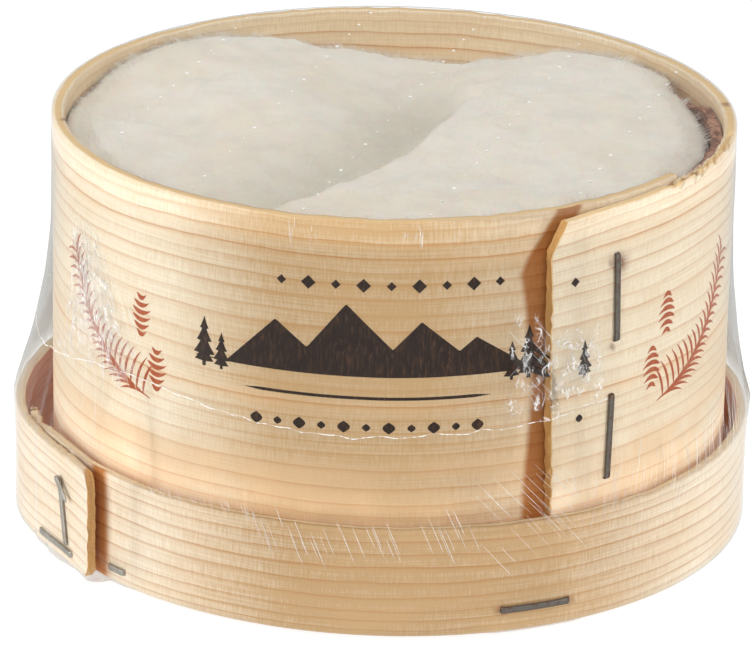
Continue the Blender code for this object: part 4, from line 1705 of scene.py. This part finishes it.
@dataclass
class Film:
    """The clear film: shrunk over the rim, out to the lid's top edge, and under the lid."""

    pack: Pack
    side: BoxSide
    band: LidBand
    hug: float = 0.13
    over_rim: float = 0.13
    shoulder: float = 0.30
    columns: int = 720
    mean_radius: float = 58.0
    roof_sag: float = 0.20
    weld_ends: Pair = (150.0, 306.5)

    @property
    def roof(self) -> float:
        """Height of the film's flat top."""
        return self.pack.rim + self.over_rim

    def box_radius(self, angle: Array) -> Array:
        """Radius round the box: clears the staples and spans in to the lap's end.

        Args:
            angle: Degrees round the box.

        Returns:
            The film's radius.
        """
        clear = self.hug + 0.58 * smooth(angle, 299.0, 305.0) * (1.0 - smooth(angle, 311.0, 317.0))
        span = self.tangent(self.side.end_angle - angle, float(self.side.radius(np.array(0.0))) + self.hug,
                            self.side.base_radius + self.hug)
        return np.maximum(self.side.outside(angle) + clear, span)

    @staticmethod
    def tangent(past: Array, far: float, near: float) -> Array:
        """Radius of the straight line from a far point to where it touches a circle: near / cos(left to go).

        Args:
            past: Degrees past the far point.
            far: The far point's radius.
            near: The circle's radius.

        Returns:
            The line's radius, and 0 off its ends.
        """
        reach = math.degrees(math.acos(near / far))
        on_line = (past > 0.0) & (past < reach)
        return np.where(on_line, near / cosine(np.where(on_line, reach - past, 0.0)), 0.0)

    def tongue(self) -> float:
        """Radius at the end of the lid's tongue."""
        return float(self.band.radius(np.array(0.0)))

    def lid_radius(self, angle: Array) -> Array:
        """Radius round the lid: clears the staples and spans out to the tongue's end."""
        span = self.tangent(turn_between(angle, self.band.end_angle), self.tongue(), self.band.base_radius)
        return np.maximum(self.band.outside(angle), span) + self.hug + self.tents(angle)

    def foot_radius(self, angle: Array) -> Array:
        """Radius round the lid's foot, where the film falls in close beside the tongue's end.

        Args:
            angle: Degrees round the lid.

        Returns:
            The film's radius.
        """
        past = turn_between(angle, self.band.end_angle)
        close = np.where(past > 0.0, mix(self.tongue(), self.band.base_radius, smooth(past, 0.3, 1.5)), 0.0)
        close = np.maximum(self.band.outside(angle), close) + self.hug + self.tents(angle)
        return np.minimum(self.lid_radius(angle), close)

    @staticmethod
    def tents(angle: Array) -> Array:
        """How far the staples under the film lift it: a smooth step up and down past each one's ends."""
        return sum(rise * smooth(angle, low - 3.0, low) * (1.0 - smooth(angle, high, high + 3.0))
                   for low, high, rise in WIRE_TENTS)

    @staticmethod
    def flare(down: Array) -> Array:
        """How far out the film stands, from 0 to 1: a power of the share down from rim to lid."""
        return np.minimum(1.0, np.maximum(0.0, (down - 0.3) / 0.68) ** 1.85)

    def skin(self, angle: Array, height: Array) -> Array:
        """Points of the film's smooth side, without its wrinkles.

        Args:
            angle: Degrees round the pack.
            height: Heights between the floor and the film's top.

        Returns:
            Points in millimetres.
        """
        angle, height = np.broadcast_arrays(np.asarray(angle, float) % 360.0, np.asarray(height, float))
        down = (self.pack.rim - height) / (self.pack.rim - self.pack.lid_top)
        out = self.flare(down)
        lid = mix(self.foot_radius(angle), self.lid_radius(angle), smooth(height, 1.0, 8.0))
        radius = mix(self.box_radius(angle), lid, out)
        axis = mix(self.pack.box_axis, self.pack.lid_axis, out[..., None])
        turn = np.radians(angle)
        return coords(axis[..., 0] + radius * np.cos(turn), axis[..., 1] + radius * np.sin(turn), height)

    def wrinkles(self, angle: Array, height: Array) -> Array:
        """How far wrinkles lift the film: squared upright ripples by the lid's top, and slow slack all over.

        Args:
            angle: Degrees round the pack.
            height: Heights above the floor.

        Returns:
            Lifts in millimetres.
        """
        near = np.exp(-((height - self.pack.lid_top - 2.0) / 6.5) ** 2)
        around = coords(angle * 1.05, height * 0.10)
        pleats = np.maximum(0.0, Ripple(3.2, 71).at(around)) ** 2 * 0.10
        side = 0.35 + 0.65 * smooth(cosine(turn_between(angle, 330.0)), 0.2, 0.9)
        slack = 0.04 + 0.04 * np.tanh(Ripple(14.0, 72).at(coords(angle * 1.05, height)))
        return near * pleats * side + slack

    def wrap(self) -> Shape:
        """The whole film as one closed skin: under the lid, up the side, round the rim and over the top.

        Returns:
            The surface.
        """
        angle = np.arange(self.columns) * 360.0 / self.columns
        foot = self.foot_radius(angle)
        under = [polar(foot * s, angle, 0.04, self.pack.lid_axis) for s in (0.0, 0.2, 0.4, 0.6, 0.75, 0.9)]
        under.append(polar(foot - 2.2, angle, 0.0, self.pack.lid_axis))
        corner = [polar(foot - inset, angle, rise, self.pack.lid_axis)
                  for inset, rise in ((1.5, 0.12), (0.6, 0.45))]
        heights = np.concatenate((np.linspace(0.8, self.pack.lid_top - 2.0, 12),
                                  np.linspace(self.pack.lid_top - 1.4, self.pack.lid_top + 14.0, 40),
                                  np.linspace(self.pack.lid_top + 15.0, self.roof - self.shoulder, 34)))
        grid_angle, grid_height = np.meshgrid(angle, heights)
        side = self.skin(grid_angle, grid_height)
        lift = self.wrinkles(grid_angle, grid_height)[..., None]
        side = side + outwards(grid_angle) * lift
        box = self.box_radius(angle)
        top = [polar(box - self.shoulder * (1.0 - math.cos(a)), angle,
                     self.roof - self.shoulder * (1.0 - math.sin(a)), self.pack.box_axis)
               for a in np.radians((20.0, 45.0, 70.0, 90.0))]
        for share in np.linspace(0.985, 0.0, 30):
            radius = (box - self.shoulder) * share
            flat = polar(radius, angle, self.roof, self.pack.box_axis)
            flat[..., 2] -= self.sag(share) - 0.03 * np.tanh(Ripple(22.0, 73).at(flat[..., :2]))
            top.append(flat)
        return ball_grid(np.concatenate((np.stack(under), np.stack(corner), side, np.stack(top))))

    def sag(self, share: Array) -> Array:
        """How far the film's top sags, at a share of its radius: its full sag times 1 - share ** 4."""
        return self.roof_sag * (1.0 - share ** 4)

    def bead(self, angles: Array, heights: Array, size: float, seed: int) -> Shape:
        """A thin uneven bead of molten film along a line on the film's side.

        Args:
            angles: The line's angles.
            heights: Its heights.
            size: The bead's radius.
            seed: Seed of its unevenness.

        Returns:
            The closed bead.
        """
        centre = self.skin(angles, heights)
        outward = outwards(angles)
        centre = centre + outward * size * 0.6
        ahead = np.gradient(centre, axis=0)
        ahead /= np.linalg.norm(ahead, axis=1, keepdims=True)
        side = np.cross(outward, ahead)
        turn = np.radians(np.arange(6) * 60.0)
        swell = size * (0.25 + 0.75 * smooth(Ripple(1.1, seed).at(centre), -0.4, 0.5))
        swell[[0, -1]] = 0.0
        ring = (side[:, None] * np.cos(turn)[None, :, None] + outward[:, None] * np.sin(turn)[None, :, None])
        return ball_grid(centre[:, None] + ring * swell[:, None, None])

    def seam(self) -> Shape:
        """The weld line round the pack, lowest in front and higher at the sides.

        Returns:
            The weld.
        """
        angles = np.linspace(*self.weld_ends, 1000)
        heights = self.seam_height(angles) + 0.12 * Ripple(5.0, 74).at(coords(angles, 0.0 * angles))
        return self.bead(angles, heights, 0.085, 75)

    def seam_height(self, angle: Array) -> Array:
        """Height of the weld line: it rises as aa / (1 + 0.35 aa) with the angle a, and falls at the left.

        Args:
            angle: Degrees round the pack.

        Returns:
            Heights above the floor.
        """
        away = (np.asarray(angle, float) - 266.0) / 50.0
        left_fall = 9.5 * (1.0 - smooth(angle, 188.0, 230.0))
        return self.pack.lid_bottom + 33.6 - left_fall + 6.5 * away ** 2 / (1.0 + 0.35 * away ** 2)

    def gather(self, patch: "Gather") -> Shape:
        """A crumpled gather: film lifted and creased by folded noise, which fades out at its border.

        Args:
            patch: Its place, size and folds.

        Returns:
            The closed patch, with painted highlights along its creases in "glint" and its fading in "fade".
        """
        u, v = np.meshgrid(np.linspace(-1.0, 1.0, patch.columns), np.linspace(-1.0, 1.0, patch.rows))
        share = (1.0 - v) / 2.0
        left = mix(patch.top_angles[0], patch.bottom_angles[0], share)
        right = mix(patch.top_angles[1], patch.bottom_angles[1], share)
        around = mix(left, right, (u + 1.0) / 2.0)
        height = self.pack.lid_bottom + mix(patch.heights[1], patch.heights[0], share)
        wide = math.radians(patch.bottom_angles[1] - patch.bottom_angles[0]) * self.mean_radius / 2.0
        tall = (patch.heights[1] - patch.heights[0]) / 2.0
        place = coords(u * wide, v * tall * patch.stretch)
        flat = coords(u * wide, v * tall)
        folds = [np.abs(Ripple(size, patch.seed + k).at(place)) for k, size in enumerate((5.2, 2.3, 1.2))]
        lift = 0.26 * (1.0 - folds[0]) + 0.14 * (1.0 - folds[1]) + 0.05 * (1.0 - folds[2])
        border = 1.0 - np.maximum(np.abs(u), np.abs(v))
        fade = smooth(border + 0.16 * Ripple(4.0, patch.seed + 5).at(flat) - 0.05, 0.0, 0.35)
        spots = smooth(Ripple(3.0, patch.seed + 6).at(flat), -0.5, 1.3)
        # Painted highlights: thin lines along the folds' crests stand in for glints on the crumpled film.
        lines = 0.9 * np.clip(1.0 - folds[0], 0.0, 1.0) ** 26 + 0.9 * np.clip(1.0 - folds[1], 0.0, 1.0) ** 18
        lines = lines + 0.35 * np.clip(1.0 - folds[2], 0.0, 1.0) ** 10
        glint = np.clip(lines * spots * fade * patch.bright, 0.0, 0.95)
        base = self.skin(around, height)
        outward = outwards(around)
        raised = 0.05 + np.maximum(0.02, lift + 0.12) * smooth(border, 0.0, 0.4)
        return slab_grid(base + outward * raised[..., None], base + outward * 0.02,
                         {"glint": glint, "fade": fade})

    def pleat_marks(self) -> Shape:
        """Short bright creases: white slivers that lie on the film as painted highlights, round the lid's
        top edge and below the rim.

        Returns:
            The slivers.
        """
        draw = np.random.default_rng(81)
        parts = []
        for zone in CREASES:
            angle = draw.uniform(*zone.angles, zone.count)
            start = self.pack.lid_top + zone.level + draw.normal(0.0, zone.scatter, zone.count)
            tall = draw.uniform(0.45, 1.0, zone.count) * zone.tall
            half = draw.uniform(0.5, 1.0, zone.count) * zone.half_width
            parts.append((angle, start, tall, np.full(zone.count, zone.lean), half))
        count = 22
        tufts = draw.choice((249.0, 254.5, 258.0, 272.5, 275.0, 281.0), count)
        parts.append((tufts + draw.normal(0.0, 0.5, count), self.pack.rim - draw.uniform(0.8, 4.0, count),
                      draw.uniform(0.8, 3.0, count), np.full(count, 0.05), draw.uniform(0.02, 0.05, count)))
        angle, start, tall, lean, half = (np.concatenate(part) for part in zip(*parts))
        t = np.linspace(0.0, 1.0, 7)
        height = start[:, None] + (t - 0.5) * tall[:, None]
        around = angle[:, None] + np.degrees((t - 0.5) * lean[:, None] * tall[:, None] / self.mean_radius)
        centre = self.skin(around, height)
        outward = outwards(around)
        sideways = coords(-outward[..., 1], outward[..., 0], outward[..., 2])
        half = half[:, None] * np.sin(math.pi * np.clip(t, 0.02, 0.98)) ** 0.5
        centre = centre + outward * (np.maximum(0.0, self.wrinkles(around, height)) + 0.01)[..., None]
        rings = [centre + sideways * half[..., None], centre + outward * half[..., None],
                 centre - sideways * half[..., None], centre - outward * 0.02]
        return joined([ball_grid(np.stack([ring[k] for ring in rings], 1)) for k in range(len(angle))])

    def vents(self) -> Shape:
        """Pinhole vents: rows of tiny raised dots across the top of the film.

        Returns:
            The dots.
        """
        pitch, spread, lean = 6.6, 19.6, math.radians(16.0)
        along, across = np.meshgrid(np.arange(-9, 10) * pitch, np.arange(-3, 4) * spread + 1.2)
        draw = np.random.default_rng(91)
        along = along + draw.normal(0.0, 0.3, along.shape) + across * 0.2
        x = along * math.sin(lean) + across * math.cos(lean)
        y = along * math.cos(lean) - across * math.sin(lean)
        held = np.hypot(x, y) < self.side.base_radius - 2.0
        x, y = x[held], y[held]
        level = self.roof - self.sag(np.hypot(x, y) / self.side.base_radius)
        size = draw.uniform(0.13, 0.34, len(x))
        turn = np.radians(np.arange(8) * 45.0)
        profile = ((-0.15, 0.0), (-0.12, 0.8), (0.02, 1.0), (0.09, 0.55), (0.11, 0.0))
        rings = [coords(x[:, None] + np.cos(turn) * size[:, None] * reach + self.pack.box_axis[0],
                        y[:, None] + np.sin(turn) * size[:, None] * reach + self.pack.box_axis[1],
                        np.repeat((level + lift)[:, None], 8, 1)) for lift, reach in profile]
        return joined([ball_grid(np.stack([ring[k] for ring in rings])) for k in range(len(x))])


# Studio

@dataclass(frozen=True)
class Softbox:
    """A square or oblong light, aimed at the middle of the pack; places and sizes in metres."""

    name: str
    place: Triple
    size: Pair
    power: float
    colour: Triple = (1.0, 1.0, 1.0)
    aim: Triple = (0.0, 0.0, 0.035)

    def make(self) -> None:
        """Adds the light."""
        lamp = bpy.data.lights.new(self.name, "AREA")
        lamp.shape, lamp.size, lamp.size_y = "RECTANGLE", *self.size
        lamp.energy, lamp.color = self.power, self.colour
        made = bpy.data.objects.new(self.name, lamp)
        bpy.context.scene.collection.objects.link(made)
        made.location = self.place
        made.rotation_euler = (Vector(self.aim) - Vector(self.place)).to_track_quat("-Z", "Y").to_euler()


@dataclass(frozen=True)
class Studio:
    """The floor, the lights and the camera, whose view was fitted to the rim and the lid's edges."""

    pack: Pack
    distance: float = 861.86
    elevation: float = 22.8134
    focal: float = 5025.24
    pitch: float = 1.9116
    yaw: float = -0.2075
    roll: float = 1.0918
    frame_width: int = 752
    sensor: float = 36.0
    floor_size: float = 3.0

    def camera(self) -> None:
        """Sets the camera on its sphere round the lid's axis, looking down at the pack."""
        level, tilt = math.radians(self.elevation), math.radians(self.roll)
        place = Vector((0.0, -self.distance * math.cos(level), self.distance * math.sin(level)))
        base, right = -place.normalized(), Vector((1.0, 0.0, 0.0))
        ahead = base + math.tan(math.radians(self.yaw)) * right
        ahead = (ahead + math.tan(math.radians(self.pitch)) * right.cross(base)).normalized()
        across = ahead.cross(Vector((0.0, 0.0, 1.0))).normalized()
        up = across.cross(ahead)
        turned = across * math.cos(tilt) + up * math.sin(tilt)
        upright = up * math.cos(tilt) - across * math.sin(tilt)
        data = bpy.data.cameras.new("camera")
        data.sensor_width, data.lens = self.sensor, self.focal / self.frame_width * self.sensor
        data.clip_start, data.clip_end = 0.01, 20.0
        made = bpy.data.objects.new("camera", data)
        bpy.context.scene.collection.objects.link(made)
        matrix = Matrix((turned, upright, -ahead)).transposed().to_4x4()
        origin = Vector((*self.pack.lid_axis, self.pack.lid_bottom))
        matrix.translation = (place + origin) * MM
        made.matrix_world = matrix
        bpy.context.scene.camera = made

    def floor(self) -> None:
        """Lays the pale floor, half a millimetre under the pack."""
        bpy.ops.mesh.primitive_plane_add(size=self.floor_size, location=(0.0, 0.0, -0.0005))
        made = bpy.context.object
        made.name = "floor"
        made.data.materials.append(Paper("pale_paper").material())

    def lights(self) -> None:
        """Sets softboxes at both sides, in front and above, and a soft white surround."""
        for box in (Softbox("left_softbox", (-0.60, -0.26, 0.20), (0.34, 0.42), 2.5, (1.0, 0.99, 0.97)),
                    Softbox("right_softbox", (0.60, -0.20, 0.22), (0.34, 0.42), 2.1, (1.0, 0.985, 0.96)),
                    Softbox("front_fill", (0.04, -0.80, 0.52), (0.6, 0.4), 3.1, (1.0, 0.97, 0.92)),
                    Softbox("top_softbox", (-0.05, 0.05, 0.50), (0.45, 0.4), 1.3, (1.0, 0.99, 0.97))):
            box.make()
        world = bpy.data.worlds.new("surround")
        world.use_nodes = True
        back = world.node_tree.nodes["Background"]
        back.inputs["Color"].default_value = (1.0, 0.99, 0.97, 1.0)
        back.inputs["Strength"].default_value = 0.16
        bpy.context.scene.world = world
        bpy.context.scene.view_settings.view_transform = "Standard"


# Assembly

@dataclass
class CheeseBox:
    """Everything in the pack, built in order."""

    pack: Pack
    side: BoxSide = field(init=False)
    band: LidBand = field(init=False)

    def __post_init__(self) -> None:
        """Sets out the two strips on the frame."""
        p = self.pack
        foot = p.lid_bottom
        self.side = BoxSide(p, p.box_axis, p.box_bottom, p.rim, 295.2, 2.0, Turn.COUNTERCLOCKWISE,
                            stains=((14.2, foot + 59.6, 0.0, 1.3), (12.2, foot + 60.4, 0.0, 0.6),
                                    (12.6, foot + 45.6, 0.0, 0.5), (27.3, p.rim, 1.4, 0.5),
                                    (30.5, p.rim, 1.0, 0.45), (34.0, p.rim, 1.1, 0.75),
                                    (36.8, p.rim, 1.6, 0.4), (70.3, p.rim, 0.9, 0.7),
                                    (254.8, p.rim - 0.2, 1.9, 0.8)))
        self.band = LidBand(p, p.lid_axis, foot, p.lid_top, 219.3, 1.6, Turn.CLOCKWISE,
                            stains=((291.8, foot + 3.9, 0.0, 0.7), (280.2, foot + 3.9, 0.0, 0.6),
                                    (292.9, foot + 4.9, 0.0, 0.25)))

    def wood(self) -> None:
        """Builds the strips and dresses the boards."""
        lines = ((3.0, 0.3), (5.2, 0.3), (7.6, 0.3), (10.0, 0.35), (12.6, 0.4), (14.4, 0.35), (16.5, 0.5),
                 (19.4, 0.45), (22.6, 0.4), (25.6, 0.35), (27.6, 0.3), (29.7, 0.3), (31.6, 0.35),
                 (33.9, 0.9), (36.7, 0.2), (39.5, 0.45), (42.5, 0.25), (46.6, 0.5), (48.9, 0.25),
                 (51.6, 0.55), (54.1, 0.6), (56.2, 0.25), (58.5, 1.0), (61.0, 0.7), (63.2, 0.2))
        # Warmer bands by height: below 25 mm painted warm bounce light off the lid, higher up warmer rings.
        warm_grain_and_bounce = ((0.0, 0.5), (14.0, 0.7), (22.0, 0.75), (25.5, 0.25), (31.5, 0.1), (33.6, 0.6), (35.5, 0.1),
                (56.0, 0.0), (58.4, 0.3), (60.0, 0.0), (64.5, 0.1))
        # Tone along the box side: painted shade in front and painted light at the sides.
        tone = ((0.0, 0.10), (12.0, 0.06), (60.0, 0.16), (200.0, 0.16), (292.0, 0.04), (312.0, 0.76),
                (334.0, 0.84), (350.0, 0.40), (390.0, 0.26))
        # Where the painted shadow of the lapped outer end begins, by height.
        painted_shadow = ((0.0, 348.1), (17.9, 348.1), (24.5, 348.5), (34.4, 349.1), (47.7, 347.9), (54.4, 346.9),
                (57.4, 347.9), (62.0, 350.9), (64.5, 352.5))
        # Box side finish: a faint painted glow, an emission that stands in for bounce light, low on its
        # outer face.
        side = Spruce("spruce_box_side", self.pack.rim - self.pack.box_bottom, lines, warm_grain_and_bounce, 390.0, tone,
                      painted_shadow, srgb(255, 249, 238), 1.4, seed=2.0, painted_glow=0.17)
        self.side.shape().piece("spruce_side", side.material(), "spruce_strip", "box_side")
        lines = ((1.3, 0.5), (2.9, 0.6), (4.6, 0.6), (7.0, 0.6), (9.6, 0.7), (12.2, 0.8), (14.3, 0.6),
                 (16.4, 0.7), (17.7, 0.3))
        warm_grain_and_bounce = ((0.0, 0.2), (9.0, 0.15), (18.7, 0.2))
        # Painted shade in front and painted light at the sides of the lid band, by its tone along the strip.
        tone = ((0.0, 0.04), (30.0, 0.10), (200.0, 0.16), (262.0, 0.08), (300.0, 0.86), (338.0, 0.92),
                (366.0, 0.10), (412.0, 0.05))
        # Lid band finish: the tongue's painted shadow beside its end, and a warm painted shade multiplied
        # over its inner face in the gap.
        band = Spruce("spruce_lid_band", self.pack.lid_top - self.pack.lid_bottom, lines, warm_grain_and_bounce, 412.0, tone,
                      ((0.0, 377.9), (18.7, 378.3)), srgb(206, 138, 78), 1.1, seed=21.0,
                      painted_shadow_colour=(0.72, 0.35, 0.13, 1.0), painted_shadow_soft=(-0.5, 1.8), rim=srgb(246, 228, 198),
                      pale=srgb(246, 236, 217), tan=srgb(198, 164, 118), late=srgb(186, 124, 62))
        self.band.shape().piece("spruce_band", band.material(), "spruce_strip", "lid_band")
        board = SawnBoard("spruce_boards").material()
        for name in ("box_base", "lid_board"):
            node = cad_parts[name]
            node.data.materials.clear()
            node.data.materials.append(board)
            log.info("%s: sawn spruce", name)

    def food(self) -> None:
        """Builds the cheese, its bark and its mould."""
        contents = Contents(self.pack, self.side)
        rind = Rind("bloomy_rind").material()
        contents.cheese().piece("cheese_body", rind, "bloomy_rind", "cheese", 80.0)
        bark = Bark("inner_bark").material()
        contents.strap().piece("bark_girdle", bark, "spruce_bark", "bark_strap", 70.0)
        hair = MouldHair("mould_hair").material()
        contents.nap().piece("mould_nap", hair, "bloomy_rind")
        contents.fringe().piece("mould_fringe", hair, "bloomy_rind")

    def staples(self) -> None:
        """Builds the six staples."""
        base = self.pack.lid_bottom
        dark = StapleWire("staple_dark", srgb(116, 112, 106), 0.7).material()
        light = StapleWire("staple_light", srgb(168, 165, 158), 0.25).material()
        rows = (("staple_box_upper", self.side, (309.1, 308.6), (46.0, 60.8), LegEnd.DRIVEN, dark),
                ("staple_box_lower", self.side, (308.0, 308.4), (22.5, 36.8), LegEnd.DRIVEN, dark),
                ("staple_tongue_upright", self.band, (211.5, 209.3), (3.2, 14.5), LegEnd.FOLDED, light),
                ("staple_tongue_level", self.band, (202.6, 213.4), (2.0, 2.1), LegEnd.DRIVEN, light),
                ("staple_band_side", self.band, (220.8, 224.3), (2.4, 2.4), LegEnd.DRIVEN, light),
                ("staple_band_front", self.band, (287.6, 298.8), (3.9, 3.9), LegEnd.DRIVEN, dark))
        for name, strip, angles, heights, last, finish in rows:
            wire = Staple(strip, angles, tuple(base + h for h in heights), last)
            wire.shape().piece("wire_" + name, finish, "staple_wire", name)

    def printing(self) -> None:
        """Stamps the decoration."""
        marks = Print(self.side, self.pack.lid_bottom).shapes()
        dark = Ink("ink_dark", srgb(42, 25, 17), srgb(92, 62, 42)).material()
        red = Ink("ink_red", srgb(178, 84, 44), srgb(204, 130, 84)).material()
        marks["print_dark"].piece("print_dark", dark, "spruce_strip")
        marks["print_red"].piece("print_red", red, "spruce_strip")

    def film(self) -> None:
        """Wraps the pack in its film, with the weld line, the gathers, the creases and the vents."""
        film = Film(self.pack, self.side, self.band)
        clear = ClearFilm("clear_film", 0.004, 0.9, 0.09, 0.00005, 0.5, 0.45, (0.60, 0.60, 0.58, 1.0),
                          (0.50, 0.50, 0.49, 1.0)).material()
        creased = ClearFilm("creased_film", 0.01, 0.22, 0.10, 0.0001, 0.75, 0.95, marked=True).material()
        # White slivers on the creases: painted highlights of the crumpled film.
        white = ClearFilm("painted_crease_highlights", 0.55, 0.8, 0.4, 0.00005, 1.0, 0.85, (1.0, 1.0, 1.0, 1.0)).material()
        specks = ClearFilm("film_specks", 0.9, 0.5, 0.5, 0.00001, 1.0, 0.95, (1.0, 1.0, 1.0, 1.0)).material()
        film.wrap().piece("film_skin", clear, "clear_film", "film_wrap", 80.0)
        left, *right = [film.gather(patch) for patch in GATHERS]
        left.piece("film_gather_left", creased, "clear_film", sharp=30.0)
        joined(right).piece("film_gathers_right", creased, "clear_film", sharp=30.0)
        film.seam().piece("film_weld", specks, "clear_film")
        film.pleat_marks().piece("film_creases", white, "clear_film")
        film.vents().piece("film_vents", specks, "clear_film")


def main() -> None:
    """Builds the pack and its studio."""
    logging.basicConfig(level=logging.INFO, format="%(name)s: %(message)s")
    pack = Pack.from_frame()
    box = CheeseBox(pack)
    for build in (box.wood, box.food, box.staples, box.printing, box.film):
        build()
        log.info("%s done", build.__name__)
    studio = Studio(pack)
    studio.camera()
    studio.floor()
    studio.lights()


if __name__ == "__main__":
    main()
